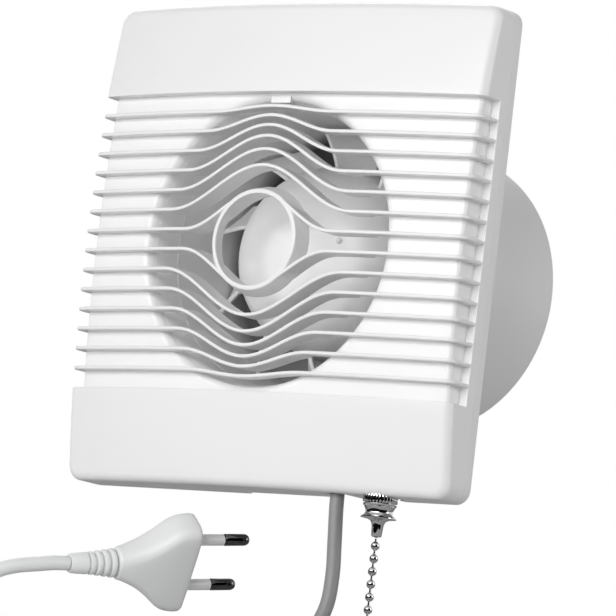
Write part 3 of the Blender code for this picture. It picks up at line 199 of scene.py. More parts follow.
class Finish:
    """One material: a Principled shader, and the nodes that vary its colour, gloss and relief."""

    def __init__(self, name, colour, roughness, metallic=0.0):
        self.material = bpy.data.materials.new(name)
        self.material.use_nodes = True
        self.tree = self.material.node_tree
        self.shader = self.tree.nodes["Principled BSDF"]
        self.colour = (*colour, 1.0)
        self.roughness = roughness
        self.feed(self.shader, {"Base Color": self.colour, "Roughness": roughness, "Metallic": metallic})

    def feed(self, node, inputs):
        for key, value in inputs.items():
            if isinstance(value, Reading):
                self.tree.links.new(value.socket, node.inputs[key])
            else:
                node.inputs[key].default_value = value

    def node(self, kind, settings, inputs, output=0):
        made = self.tree.nodes.new(kind)
        for key, value in settings.items():
            setattr(made, key, value)
        self.feed(made, inputs)
        return Reading(self, made.outputs[output])

    def place(self):
        return self.node("ShaderNodeTexCoord", {}, {}, "Object")

    def noise(self, scale, detail=2.0):
        inputs = {"Vector": self.place(), "Scale": scale, "Detail": detail}
        return self.node("ShaderNodeTexNoise", {}, inputs)

    def tint(self, pattern, other):
        """Mixes in another colour where the pattern is high. Sockets 6, 7 and output 2 are colours."""
        inputs = {"Factor": pattern, 6: self.colour, 7: (*other, 1.0)}
        mix = self.node("ShaderNodeMix", {"data_type": "RGBA"}, inputs, 2)
        self.feed(self.shader, {"Base Color": mix})

    def shade(self, pattern, share):
        """Tints the base colour with a darker form of itself."""
        self.tint(pattern, tuple(share * channel for channel in self.colour[:3]))

    def gloss(self, pattern, spread):
        """Lets the roughness vary with the pattern, by the spread in all."""
        self.feed(self.shader, {"Roughness": pattern * spread + (self.roughness - spread / 2)})

    def relief(self, height, depth, strength):
        inputs = {"Height": height, "Distance": depth, "Strength": strength}
        self.feed(self.shader, {"Normal": self.node("ShaderNodeBump", {}, inputs)})


def grained(finish, grain=2200.0, depth=0.00001):
    """Gives a finish the uneven gloss and the fine grain of moulded plastic."""
    finish.gloss(finish.noise(90.0, 3.0), 0.12)
    finish.relief(finish.noise(grain, 3.0), depth, 0.5)
    return finish


def moulded(name, colour, roughness, *grain):
    """Injection-moulded plastic, satin and a little uneven in colour."""
    finish = grained(Finish(name, colour, roughness), *grain)
    finish.shade(finish.noise(14.0), 0.97)
    return finish.material


def alone(obj):
    """Selects one object and makes it the active one."""
    bpy.ops.object.select_all(action="DESELECT")
    obj.select_set(True)
    bpy.context.view_layer.objects.active = obj


def edit(obj):
    alone(obj)
    bpy.ops.object.mode_set(mode="EDIT")


def leave():
    bpy.ops.object.mode_set(mode="OBJECT")


def select(kind, test):
    """In edit mode, selects the verts, edges or faces that pass a test, and nothing else."""
    tools = bpy.context.tool_settings
    tools.mesh_select_mode = (kind == "verts", kind == "edges", kind == "faces")
    bpy.ops.mesh.select_all(action="DESELECT")
    mesh = bpy.context.object.data
    shape = bmesh.from_edit_mesh(mesh)
    for part in getattr(shape, kind):
        if test(part):
            part.select_set(True)
    shape.select_flush_mode()
    bmesh.update_edit_mesh(mesh)


def apply_all(obj):
    alone(obj)
    for modifier in list(obj.modifiers):
        bpy.ops.object.modifier_apply(modifier=modifier.name)
    return obj


def combine(obj, operation, *others):
    """Applies a Boolean with each of the others, and removes them."""
    for other in others:
        modifier = obj.modifiers.new(operation.lower(), "BOOLEAN")
        modifier.operation = operation
        modifier.object = other
        apply_all(obj)
        bpy.data.objects.remove(other)


def rounded_edges(obj, width, segments=2, angle=50.0):
    modifier = obj.modifiers.new("edges", "BEVEL")
    modifier.width = width
    modifier.segments = segments
    modifier.limit_method = "ANGLE"
    modifier.angle_limit = math.radians(angle)
    return apply_all(obj)


def block(name, low, high, edge=0.0):
    """A cube primitive at its size and place, with its edges rounded."""
    low, high = Vector(low), Vector(high)
    bpy.ops.mesh.primitive_cube_add(size=1.0, location=(low + high) / 2, scale=high - low)
    made = bpy.context.object
    made.name = made.data.name = name
    bpy.ops.object.transform_apply(location=True, rotation=True, scale=True)
    return rounded_edges(made, edge) if edge else made


def bar(name, radius, start, end, steps):
    """A cylinder primitive from one point to another."""
    start, end = Vector(start), Vector(end)
    bpy.ops.mesh.primitive_cylinder_add(
        vertices=steps,
        radius=radius,
        depth=(end - start).length,
        location=(start + end) / 2,
        rotation=(end - start).to_track_quat("Z", "Y").to_euler(),
    )
    made = bpy.context.object
    made.name = made.data.name = name
    bpy.ops.object.transform_apply(location=True, rotation=True, scale=True)
    return made


def drill(obj, radius, x, z, front, rear, steps):
    """Cuts a round hole along Y, from front to rear."""
    combine(obj, "DIFFERENCE", bar("hole", radius, (x, front, z), (x, rear, z), steps))


def round_along(obj, axis, radius, segments, share=0.99):
    """Rounds the edges that run along an axis: 0 is X, 1 is Y and 2 is Z."""
    edit(obj)
    select("edges", lambda edge: abs((edge.verts[0].co - edge.verts[1].co).normalized()[axis]) > share)
    bpy.ops.mesh.bevel(offset=radius, segments=segments, affect="EDGES")
    leave()


def finished(obj, body, material, replaced, angle=32.0, weighted=False):
    """Gives a finished piece its smooth shading, its material and its place on a body of the fan."""
    alone(obj)
    bpy.ops.object.shade_smooth_by_angle(angle=math.radians(angle))
    if weighted:
        modifier = obj.modifiers.new("normals", "WEIGHTED_NORMAL")
        modifier.keep_sharp = True
        apply_all(obj)
    obj.data.materials.clear()
    obj.data.materials.append(material)
    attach(obj, body)
    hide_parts(*replaced)


def panel(name, half_width, half_height, corner, front, back):
    """A flat plate with round corners."""
    made = block(name, (-half_width, front, -half_height), (half_width, back, half_height))
    round_along(made, 1, corner, 8)
    return made


def inset_panel(name, inset, front, back):
    """A panel with the wall plate's outline, drawn in at its four sides."""
    return panel(name, HALF_WIDTH - inset, HALF_HEIGHT - inset, CORNER - inset, front, back)


BASE_WHITE = moulded("base_plastic", WHITE, 0.42)
plate = inset_panel("back_plate", 0.0, -PLATE, 0.0)
fence_height = SKIRT - COVER_WALL - PLATE - CLEARANCE
fence_inset = LEAN * (PLATE + fence_height) + COVER_WALL + CLEARANCE
fence = inset_panel("fence", fence_inset, -PLATE - fence_height, -PLATE / 2)
hollow = inset_panel("hollow", fence_inset + FENCE_WALL, -0.02, 0.01)
gateway = block("gateway", (GATEWAY[0], -0.02, -0.1), (GATEWAY[1], 0.01, -0.03))
combine(fence, "DIFFERENCE", hollow, gateway)
combine(plate, "UNION", fence)
drill(plate, DUCT_OUTSIDE + CLEARANCE, 0, 0, -0.02, 0.02, 144)
for x in (-FIXING[0], FIXING[0]):
    for z in (-FIXING[1], FIXING[1]):
        drill(plate, FIXING_HOLE, x, z, -0.02, 0.02, 32)
notch = block("notch", (NOTCH[0], -0.01, -0.1), (NOTCH[1], 0.01, -HALF_HEIGHT + NOTCH[2]))
combine(plate, "DIFFERENCE", notch)
rounded_edges(plate, 0.0001)
finished(plate, "housing", BASE_WHITE, ["wall_plate"], weighted=True)


# The duct spigot is one white moulding: a flared mouth behind the cover, a flange on the plate,
# the tube that goes through the wall, and inside it the three-legged bracket that carries the motor.
# Behind the impeller its inside, the bracket too, is painted dark grey: painted shade for the deep duct,
# where little light reaches.
DUCT_INSIDE = 0.047
DUCT_END = 0.08075
FLANGE = 0.056
FLANGE_THICKNESS = 0.0015
FLOOR_FRONT = -0.0245
FLOOR_WALL = 0.0022
FLARE = 0.0044
FLARE_LENGTH = 0.0098
CHAMFER = 0.0004
RIDGE_PLACE = -0.0074
RIDGE_HEIGHT = 0.00015
BRACKET = (0.036, 0.0395)
BRACKET_RADIUS = 0.0315
BEARING_SEAT = 0.006
FIRST_SPOKE = -60.0
SPOKES = 3
SPOKE_STEP = 360.0 / SPOKES
SPOKE_WIDTH = 0.007
SPOKE_BITE = (0.001, 0.0006)
SCREW_CIRCLE = 0.0285
SCREW_HOLE = 0.0018
LIP_REACH = 0.0007
# Painted shade deep in the duct: the depth along the axis where it fades in, the length of the fade, and
# its dark grey.
PAINTED_SHADE_DEPTH = 0.026
PAINTED_SHADE_FADE = 0.005
PAINTED_SHADE_TINT = (0.07, 0.07, 0.07)
FRONT_DROP = (0.0086, 0.0068)


def face_outwards(obj):
    edit(obj)
    bpy.ops.mesh.select_all(action="SELECT")
    bpy.ops.mesh.normals_make_consistent(inside=False)
    leave()


def spun(name, profile, steps, upright=None, closed=True):
    """Turns a profile of (radius, place on the axis) about the duct's axis, or an upright one at (x, y)."""
    mesh = bpy.data.meshes.new(name)
    if upright:
        points = [(upright[0] + radius, upright[1], along) for radius, along in profile]
        axis, middle = (0.0, 0.0, 1.0), (*upright, 0.0)
    else:
        points = [(radius, along, 0.0) for radius, along in profile]
        axis, middle = (0.0, 1.0, 0.0), (0.0, 0.0, 0.0)
    edges = [(i, i + 1) for i in range(len(points) - 1)]
    if closed:
        edges.append((len(points) - 1, 0))
    mesh.from_pydata(points, edges, [])
    made = bpy.data.objects.new(name, mesh)
    scene.collection.objects.link(made)
    edit(made)
    bpy.ops.mesh.select_all(action="SELECT")
    bpy.ops.mesh.spin(steps=steps, angle=2 * math.pi, center=middle, axis=axis)
    bpy.ops.mesh.select_all(action="SELECT")
    bpy.ops.mesh.remove_doubles(threshold=0.000002)
    bpy.ops.mesh.dissolve_degenerate(threshold=0.000001)
    leave()
    face_outwards(made)
    return made


def soften(profile, radius, steps=3):
    """Rounds each corner of a closed profile, by up to the radius."""
    made = []
    points = [Vector(point) for point in profile]
    for before, corner, after in zip(points[-1:] + points[:-1], points, points[1:] + points[:1]):
        back, on = before - corner, after - corner
        if corner.x < 1e-9 or abs(back.normalized().dot(on.normalized())) > 0.995:
            made.append(tuple(corner))
            continue
        reach = min(radius, back.length * 0.45, on.length * 0.45)
        first, last = corner + back.normalized() * reach, corner + on.normalized() * reach
        for step in range(steps + 1):
            t = step / steps
            made.append(tuple(first * (1 - t) ** 2 + corner * (2 * t * (1 - t)) + last * t**2))
    return made


def front_drop(x, z):
    """How far the cover's front falls back from its middle towards its edges."""
    return FRONT_DROP[0] * (x / HALF_WIDTH) ** 2 + FRONT_DROP[1] * (z / HALF_HEIGHT) ** 2


def polar(radius, degrees):
    return radius * math.cos(math.radians(degrees)), radius * math.sin(math.radians(degrees))


def inlet(depth):
    """The inlet's radius at a depth behind the cover's sunken floor: a quarter of an ellipse."""
    return DUCT_INSIDE + FLARE * (1 - math.sqrt(max(0.0, 1 - (1 - depth / FLARE_LENGTH) ** 2)))


mouth_depth = FLOOR_WALL + 2 * CLEARANCE + LIP_REACH
mouth_drop = front_drop(inlet(mouth_depth), 0.0)
mouth = FLOOR_FRONT + mouth_depth + mouth_drop
flange = -PLATE - CLEARANCE
wall = DUCT_OUTSIDE - DUCT_INSIDE
bell_line = []
for step in range(9):
    depth = mouth_depth + (FLARE_LENGTH - mouth_depth) * step / 8
    bell_line.append((inlet(depth), mouth + depth - mouth_depth))
duct_profile = [(DUCT_INSIDE, DUCT_END), (DUCT_INSIDE + CHAMFER, DUCT_END)]
duct_profile += [(DUCT_OUTSIDE - CHAMFER, DUCT_END), (DUCT_OUTSIDE, DUCT_END - CHAMFER)]
duct_profile += [(DUCT_OUTSIDE, flange), (FLANGE, flange), (FLANGE, flange - FLANGE_THICKNESS)]
duct_profile += [(DUCT_OUTSIDE, flange - FLANGE_THICKNESS)]
duct_profile += [(radius + wall, y) for radius, y in bell_line[::-1]]
duct_profile += bell_line
ridge = DUCT_INSIDE - RIDGE_HEIGHT
duct_profile += [(DUCT_INSIDE, RIDGE_PLACE), (ridge, RIDGE_PLACE + 0.0002)]
duct_profile += [(ridge, RIDGE_PLACE + 0.0008), (DUCT_INSIDE, RIDGE_PLACE + 0.0012)]
duct = spun("duct", duct_profile, 144)
disc_profile = [(BEARING_SEAT, BRACKET[1]), (BRACKET_RADIUS, BRACKET[1])]
disc_profile += [(BRACKET_RADIUS, BRACKET[0]), (BEARING_SEAT, BRACKET[0])]
disc = spun("disc", soften(disc_profile, 0.0005), 96)
combine(duct, "UNION", disc)
for number in range(SPOKES):
    degrees = FIRST_SPOKE + SPOKE_STEP * number
    spoke = block(
        "spoke",
        (BRACKET_RADIUS - SPOKE_BITE[0], BRACKET[0] + CLEARANCE, -SPOKE_WIDTH / 2),
        (DUCT_INSIDE + SPOKE_BITE[1], BRACKET[1] - CLEARANCE, SPOKE_WIDTH / 2),
        0.0005,
    )
    spoke.data.transform(Matrix.Rotation(-math.radians(degrees), 4, "Y"))
    combine(duct, "UNION", spoke)
    x, z = polar(SCREW_CIRCLE, degrees + SPOKE_STEP / 2)
    drill(duct, SCREW_HOLE, x, z, 0.03, 0.045, 24)
# Painted shade, not a real lining: inside the tube and on the bracket, the white fades to a dark grey
# towards the rear, standing in for the shade deep in the duct.
duct_with_painted_shade = grained(Finish("duct_plastic_painted_shade", WHITE, 0.42))
flat = {0: duct_with_painted_shade.place(), 1: (1.0, 0.0, 1.0)}
across = duct_with_painted_shade.node("ShaderNodeVectorMath", {"operation": "MULTIPLY"}, flat)
across = duct_with_painted_shade.node("ShaderNodeVectorMath", {"operation": "LENGTH"}, {0: across}, "Value")
along = duct_with_painted_shade.node("ShaderNodeSeparateXYZ", {}, {0: duct_with_painted_shade.place()}, "Y")
deep = {"Value": along, "From Min": PAINTED_SHADE_DEPTH - PAINTED_SHADE_FADE, "From Max": PAINTED_SHADE_DEPTH + PAINTED_SHADE_FADE}
inner = 1.0 - (across > DUCT_INSIDE + CHAMFER)
duct_with_painted_shade.tint(duct_with_painted_shade.node("ShaderNodeMapRange", {}, deep) * inner, PAINTED_SHADE_TINT)
finished(duct, "housing", duct_with_painted_shade.material, ["duct_spigot"], weighted=True)


# The motor is a steel can screwed to the bracket, with a laminated stator, two windings
# and a bronze bearing at each end. Only the can, its screws and its rear bearing show.
CASE_FRONT = BRACKET[1] + CLEARANCE
CASE_LENGTH = 0.0242
CASE_REAR = CASE_FRONT + CASE_LENGTH
CASE_RADIUS = 0.026
CASE_INSIDE = 0.0245
CASE_BORE = 0.006
CASE_FLANGE = 0.0017
CASE_END = 0.0024
CASE_DISH = 0.0009


def drawn_metal(name, colour, roughness, scale=(400.0, 400.0, 4000.0)):
    """Sheet, bar or wire with a fine drawn grain."""
    finish = Finish(name, colour, roughness, 1.0)
    along = finish.node("ShaderNodeMapping", {}, {"Vector": finish.place(), "Scale": scale})
    grain = finish.node("ShaderNodeTexNoise", {}, {"Vector": along, "Scale": 1.0, "Detail": 3.0})
    finish.shade(grain, 0.8)
    finish.gloss(grain, 0.2)
    finish.relief(grain, 0.00001, 0.4)
    return finish.material


def dressed(material, *nodes):
    """Gives CAD nodes whose shape is right a material, and smooth shading between their hard edges."""
    for name in nodes:
        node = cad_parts[name]
        node.data.materials.clear()
        node.data.materials.append(material)
        node.data.shade_smooth()
        weld = node.modifiers.new("weld", "WELD")
        weld.merge_threshold = 0.000005
        split = node.modifiers.new("split", "EDGE_SPLIT")
        split.split_angle = math.radians(32)


STEEL = drawn_metal("bright_steel", (0.66, 0.66, 0.67), 0.32)
MOTOR_STEEL = drawn_metal("motor_steel", (0.55, 0.55, 0.56), 0.42, (500.0, 4000.0, 500.0))
BRONZE = drawn_metal("bronze", (0.68, 0.50, 0.24), 0.38)
COPPER = drawn_metal("copper_wire", (0.66, 0.28, 0.12), 0.35, (300.0, 5000.0, 300.0))

case_profile = [(CASE_BORE, CASE_REAR), (0.0079, CASE_REAR), (0.0084, CASE_REAR - CASE_DISH)]
case_profile += [(0.016, CASE_REAR - CASE_DISH), (0.0168, CASE_REAR), (CASE_RADIUS, CASE_REAR)]
case_profile += [(CASE_RADIUS, CASE_FRONT + CASE_FLANGE), (BRACKET_RADIUS, CASE_FRONT + CASE_FLANGE)]
case_profile += [(BRACKET_RADIUS, CASE_FRONT), (CASE_INSIDE, CASE_FRONT)]
end = CASE_REAR - CASE_END
case_profile += [(CASE_INSIDE, end), (0.008, end), (CASE_BORE, end)]
case = spun("motor_can", soften(case_profile, 0.0008), 96)
for number in range(SPOKES):
    x, z = polar(SCREW_CIRCLE, FIRST_SPOKE + SPOKE_STEP * (number + 0.5))
    drill(case, SCREW_HOLE, x, z, CASE_FRONT - 0.002, CASE_FRONT + 0.004, 24)
finished(case, "housing", MOTOR_STEEL, ["motor_case"], weighted=True)

dressed(STEEL, "motor_screw_1", "motor_screw_2", "motor_screw_3", "motor_shaft")
dressed(MOTOR_STEEL, "stator_core", "rotor_core")
dressed(COPPER, "front_winding", "rear_winding")
dressed(BRONZE, "front_bearing", "rear_bearing")


# The impeller is a white moulding pressed on the shaft: a domed cup and ten swept blades,
# with a collar between its boss and the front bearing.
HUB_LINE = (
    (0.0, -0.006),
    (0.005, -0.00588),
    (0.010, -0.00552),
    (0.0145, -0.0049),
    (0.0185, -0.00398),
    (0.0215, -0.00295),
    (0.0240, -0.00178),
    (0.0259, -0.00045),
    (0.0273, 0.0011),
    (0.0286, 0.0031),
    (0.0297, 0.0052),
    (0.0308, 0.0078),
    (0.0317, 0.0108),
    (0.0325, 0.0143),
    (0.0331, 0.0185),
    (0.0335, 0.0235),
    (0.0337, 0.0300),
)
HUB_WALL = 0.0016
HUB_REAR = 0.032
BOSS = 0.005
BOSS_REAR = 0.0333
SHAFT_HOLE = 0.0023
SHAFT_HOLE_FRONT = 0.006
BLADES = 10
BLADE_TIP = 0.0455
BLADE_ROOT = 0.0300
BLADE_SPAN = (0.012, 0.0245)
BLADE_WALL = 0.0015
BLADE_SWEEP = 720.0
BLADE_PHASE = 91.0
BLADE_MIDDLE = 0.0365
BLADE_WRAP = 15.7
BLADE_BOW = 0.0012
DOT = (0.0178, -0.0043, 0.0040)
DOT_RADIUS = 0.0011

inside = [(radius - HUB_WALL, y + HUB_WALL * 0.6) for radius, y in HUB_LINE if radius > BOSS + HUB_WALL]
rim = HUB_LINE[-1][0]
hub_profile = [(rim - HUB_WALL, HUB_REAR), (rim - 0.0003, HUB_REAR), (rim, HUB_REAR - 0.0003)]
hub_profile += list(HUB_LINE[::-1])
hub_profile += [(0.0, SHAFT_HOLE_FRONT), (SHAFT_HOLE, SHAFT_HOLE_FRONT), (SHAFT_HOLE, BOSS_REAR)]
hub_profile += [(BOSS, BOSS_REAR), (BOSS, inside[0][1])]
hub = spun("fan_wheel", hub_profile + inside, 96)


def walled(obj, thickness):
    """Gives a surface its wall, half on each side."""
    wall = obj.modifiers.new("wall", "SOLIDIFY")
    wall.thickness = thickness
    wall.offset = 0.0
    apply_all(obj)


def joined(pieces):
    """Joins pieces into the first of them."""
    alone(pieces[0])
    for piece in pieces[1:]:
        piece.select_set(True)
    bpy.ops.object.join()
    return pieces[0]


def blade_point(span, chord):
    """A point on a blade's middle surface. Span runs from root to tip, chord from front to rear."""
    radius = BLADE_ROOT + (BLADE_TIP - BLADE_ROOT) * span
    lead = BLADE_PHASE + BLADE_SWEEP * (radius - BLADE_MIDDLE)
    twist = math.radians(BLADE_WRAP)
    line = Vector((-twist * radius, BLADE_SPAN[1] - BLADE_SPAN[0]))
    side = Vector((line.y, -line.x)).normalized()
    at = line * chord + side * BLADE_BOW * (1 - (2 * chord - 1) ** 2)
    x, z = polar(radius, lead + math.degrees(at.x / radius))
    return Vector((x, BLADE_SPAN[0] + at.y, z))


bpy.ops.mesh.primitive_grid_add(x_subdivisions=10, y_subdivisions=10, size=1.0)
blade = bpy.context.object
blade.name = "blade"
for vertex in blade.data.vertices:
    vertex.co = blade_point(vertex.co.x + 0.5, vertex.co.y + 0.5)
walled(blade, BLADE_WALL)
rounded_edges(blade, 0.0005, 3)
face_outwards(blade)
blades = []
for number in range(BLADES):
    copy = bpy.data.objects.new(f"blade_{number}", blade.data.copy())
    scene.collection.objects.link(copy)
    copy.data.transform(Matrix.Rotation(-2 * math.pi * number / BLADES, 4, "Y"))
    blades.append(copy)
bpy.data.objects.remove(blade)
combine(hub, "UNION", joined(blades))
bpy.ops.mesh.primitive_uv_sphere_add(segments=16, ring_count=8, radius=DOT_RADIUS, location=DOT)
combine(hub, "UNION", bpy.context.object)
IMPELLER_WHITE = moulded("impeller_plastic", (0.89, 0.89, 0.89), 0.38)
finished(hub, "rotor", IMPELLER_WHITE, ["impeller"], weighted=True)
dressed(IMPELLER_WHITE, "shaft_collar")


# Inside the cover, the lead is clamped on a saddle and ends in a terminal block. From there one wire
# goes to the pull switch, another comes back, and a thin lead runs in a groove to the motor.
SWITCH_WHITE = moulded("switch_plastic", (0.80, 0.80, 0.78), 0.45)
dressed(SWITCH_WHITE, "terminal_block", "cable_clamp", "switch_body", "switch_rocker")
dressed(BRONZE, "terminal_screw_1", "terminal_screw_2", "terminal_screw_3")
dressed(STEEL, "clamp_screw_1", "clamp_screw_2", "rocker_pin", "switch_spring", "pull_rod")
dressed(moulded("wire_grey", (0.60, 0.60, 0.60), 0.45), "motor_lead")
dressed(moulded("wire_brown", (0.25, 0.10, 0.04), 0.45), "live_wire")
dressed(moulded("wire_blue", (0.08, 0.12, 0.35), 0.45), "switched_wire")
JACKET = (0.265, 0.265, 0.27)
dressed(moulded("soft_jacket", JACKET, 0.5), "cable_grommet", "inner_cable")


# The pull switch ends in plated turned parts below the cover: a threaded stem, a knurled nut
# that holds it to the cover, and a flared bell that guides the chain into it.
SWITCH = (0.052, -0.01175)
NUT_TOP = -0.0812425
NUT_LENGTH = 0.0037
NUT_RADIUS = 0.00575
STEM_RADIUS = 0.0039
STEM_BORE = 0.0014
STEM_TOP = -0.0745425
BELL_RIM = 0.006
BELL_LENGTH = 0.0098
NUT_LOW = NUT_TOP - NUT_LENGTH
BELL_TOP = NUT_LOW - CLEARANCE
BELL_LOW = BELL_TOP - BELL_LENGTH
KNURLS = 32
KNURL_DEPTH = 0.00034


def plated(name, colour, roughness):
    """Bright nickel or chrome plate with the finest of scratches."""
    finish = Finish(name, colour, roughness, 1.0)
    finish.shade(finish.noise(300.0), 0.85)
    finish.gloss(finish.noise(1500.0), 0.10)
    finish.relief(finish.noise(4000.0), 0.000002, 0.2)
    return finish.material


CHROME = plated("chrome_plate", (0.70, 0.70, 0.71), 0.08)

stem_profile = [(STEM_BORE, STEM_TOP), (STEM_RADIUS, STEM_TOP)]
stem_profile += [(STEM_RADIUS, NUT_LOW), (STEM_BORE, NUT_LOW)]
stem = spun("threaded_stem", soften(stem_profile, 0.0003), 48, SWITCH)
finished(stem, "housing", CHROME, ["switch_stem"])

groove = NUT_TOP - NUT_LENGTH * 0.72
nut_bore = STEM_RADIUS + CLEARANCE
nut_profile = [(nut_bore, NUT_TOP), (NUT_RADIUS - 0.0003, NUT_TOP), (NUT_RADIUS, NUT_TOP - 0.0003)]
nut_profile += [(NUT_RADIUS, groove + 0.0002), (NUT_RADIUS * 0.93, groove - 0.0001)]
nut_profile += [(NUT_RADIUS * 0.93, groove - 0.0004), (NUT_RADIUS * 0.985, groove - 0.0006)]
nut_profile += [(NUT_RADIUS * 0.955, NUT_LOW), (nut_bore, NUT_LOW)]
nut = spun("knurled_nut", nut_profile, KNURLS * 4, SWITCH)
middle = Vector((SWITCH[0], SWITCH[1], 0.0))
for vertex in nut.data.vertices:
    away = vertex.co - middle
    away.z = 0.0
    if away.length > NUT_RADIUS - 0.0001 and groove < vertex.co.z < NUT_TOP - 0.0001:
        angle = math.atan2(away.y, away.x)
        vertex.co -= away.normalized() * KNURL_DEPTH * (0.5 - 0.5 * math.cos(KNURLS * angle))
finished(nut, "housing", CHROME, ["switch_nut"], angle=50.0)

rim = BELL_TOP - 0.0035
bell_profile = [(STEM_BORE, BELL_TOP), (NUT_RADIUS * 0.9, BELL_TOP), (NUT_RADIUS * 0.86, BELL_TOP - 0.0005)]
bell_profile += [(NUT_RADIUS * 0.82, BELL_TOP - 0.0010), (NUT_RADIUS * 0.79, BELL_TOP - 0.0020)]
bell_profile += [(NUT_RADIUS * 0.82, rim + 0.0010), (BELL_RIM * 0.9, rim + 0.0005), (BELL_RIM, rim)]
bell_profile += [(BELL_RIM, rim - 0.0002), (BELL_RIM * 0.95, rim - 0.0004), (BELL_RIM * 0.6, rim - 0.0007)]
bell_profile += [(0.0026, rim - 0.0012), (0.00225, rim - 0.0018), (0.00205, rim - 0.0026)]
bell_profile += [(0.0017, BELL_LOW + 0.0002), (0.00155, BELL_LOW), (STEM_BORE, BELL_LOW)]
bell = spun("chain_bell", bell_profile, 64, SWITCH)
finished(bell, "housing", CHROME, ["switch_bell"], angle=40.0)


# The pull chain is nickel-plated: hollow beads strung on short wire links. It hangs from the switch's
# pull rod, and a white moulded knob is fixed to its lower end.
BEAD = 0.0015
BEAD_PITCH = 0.00419
WIRE = 0.00038
BEADS = 18
CHAIN_TOP = -0.0956425
FIRST_BEAD = CHAIN_TOP - (BEAD_PITCH - 2 * BEAD) / 2 - BEAD - CLEARANCE
KNOB_RADIUS = 0.0042
KNOB_LENGTH = 0.014
KNOB_LINE = (
    (0.2, 0.6),
    (0.35, 0.74),
    (0.55, 0.9),
    (0.7, 0.975),
    (0.8, 1.0),
    (0.88, 0.98),
    (0.95, 0.86),
    (0.99, 0.6),
)
CHAIN_METAL = plated("chain_metal", (0.60, 0.60, 0.61), 0.10)
KNOB_WHITE = moulded("knob_plastic", (0.86, 0.86, 0.85), 0.25)

chain_profile = [(0.0, CHAIN_TOP), (WIRE, CHAIN_TOP)]
for number in range(BEADS):
    centre = FIRST_BEAD - number * BEAD_PITCH
    chain_profile.append((WIRE, centre + BEAD * 0.99))
    chain_profile.append((WIRE * 1.7, centre + BEAD * 0.93))
    for step in range(1, 10):
        angle = math.radians(66 - 16.5 * (step - 1))
        chain_profile.append((BEAD * math.cos(angle), centre + BEAD * math.sin(angle)))
    chain_profile.append((WIRE * 1.7, centre - BEAD * 0.93))
    chain_profile.append((WIRE, centre - BEAD * 0.99))
chain_low = FIRST_BEAD - BEADS * BEAD_PITCH
chain_profile += [(WIRE, chain_low), (0.0, chain_low)]
chain = spun("ball_chain", chain_profile, 24, SWITCH, closed=False)
finished(chain, "chain", CHAIN_METAL, ["pull_chain"], angle=50.0)

knob_top = chain_low - CLEARANCE
knob_profile = [(0.0, knob_top), (0.0016, knob_top), (0.0019, knob_top - 0.0004)]
for share, width in KNOB_LINE:
    knob_profile.append((KNOB_RADIUS * width, knob_top - KNOB_LENGTH * share))
knob_profile.append((0.0, knob_top - KNOB_LENGTH))
knob = spun("pull_knob", knob_profile, 48, SWITCH, closed=False)
finished(knob, "chain", KNOB_WHITE, ["chain_knob"], angle=60.0)


# The mains lead is a round soft cord. It hangs from the cover, its spare length is wound in a coil
# under a strap, and its last stretch rises to the plug. The strap hides where grey turns to white.
CABLE = 0.0048
CABLE_EXIT = (0.0347, -0.0120, -0.08122)
COIL_CENTRE = Vector((-0.013, -0.035, -0.168))
COIL_OUTER = 0.0353
COIL_TURNS = 5.25
COIL_PITCH = 0.0053
TURN_POINTS = 24
UNDER_STRAP = 0.003
PLUG_LENGTH = 0.027
RELIEF_LENGTH = 0.0157
PLUG_FACE = Vector((-0.0142, -0.024, -0.1085))
PLUG_HEADING = math.radians(62)
PLUG_TILT = math.radians(8)
PLUG_ROLL = math.radians(-52)
level = math.cos(PLUG_TILT)
PLUG_AXIS = Vector((math.cos(PLUG_HEADING) * level, math.sin(PLUG_HEADING) * level, math.sin(PLUG_TILT)))
RELIEF_END = PLUG_FACE - PLUG_AXIS * (PLUG_LENGTH + RELIEF_LENGTH + 2 * CLEARANCE)

coil = []
for step in range(round(COIL_TURNS * TURN_POINTS) + 1):
    turned = COIL_TURNS * step / round(COIL_TURNS * TURN_POINTS)
    radius = COIL_OUTER - COIL_PITCH * COIL_TURNS / 2 + COIL_PITCH * abs(turned - COIL_TURNS / 2)
    share = max(0.0, min(1.0, (turned - COIL_TURNS / 2) / 0.5 + 0.5))
    depth = COIL_PITCH * (0.5 - share * share * (3 - 2 * share))
    x, z = polar(radius, -360.0 * turned)
    coil.append(COIL_CENTRE + Vector((x, depth, z)))
lead_in = coil[0] + Vector((0.0, 0.0, CABLE))
lead_out = coil[-1] - Vector((CABLE, 0.0, 0.0))
route = [
    CABLE_EXIT,
    (0.0350, -0.0120, -0.0880),
    (0.0358, -0.0120, -0.0980),
    (0.0366, -0.0122, -0.1090),
    (0.0364, -0.0138, -0.1200),
    (0.0338, -0.0190, -0.1310),
    (0.0284, -0.0262, -0.1420),
    (0.0238, -0.0312, -0.1530),
    lead_in + Vector((0.0, 0.0, CABLE / 2)),
]
route += coil
route += [
    lead_out - Vector((CABLE, 0.0, 0.0)),
    (-0.0310, -0.0390, -0.2040),
    (-0.0450, -0.0470, -0.2040),
    (-0.0580, -0.0650, -0.1960),
    (-0.0640, -0.0830, -0.1780),
    (-0.0640, -0.0930, -0.1560),
    (-0.0570, -0.0930, -0.1350),
    (-0.0470, -0.0830, -0.1205),
    RELIEF_END - PLUG_AXIS * 0.008,
    RELIEF_END,
]


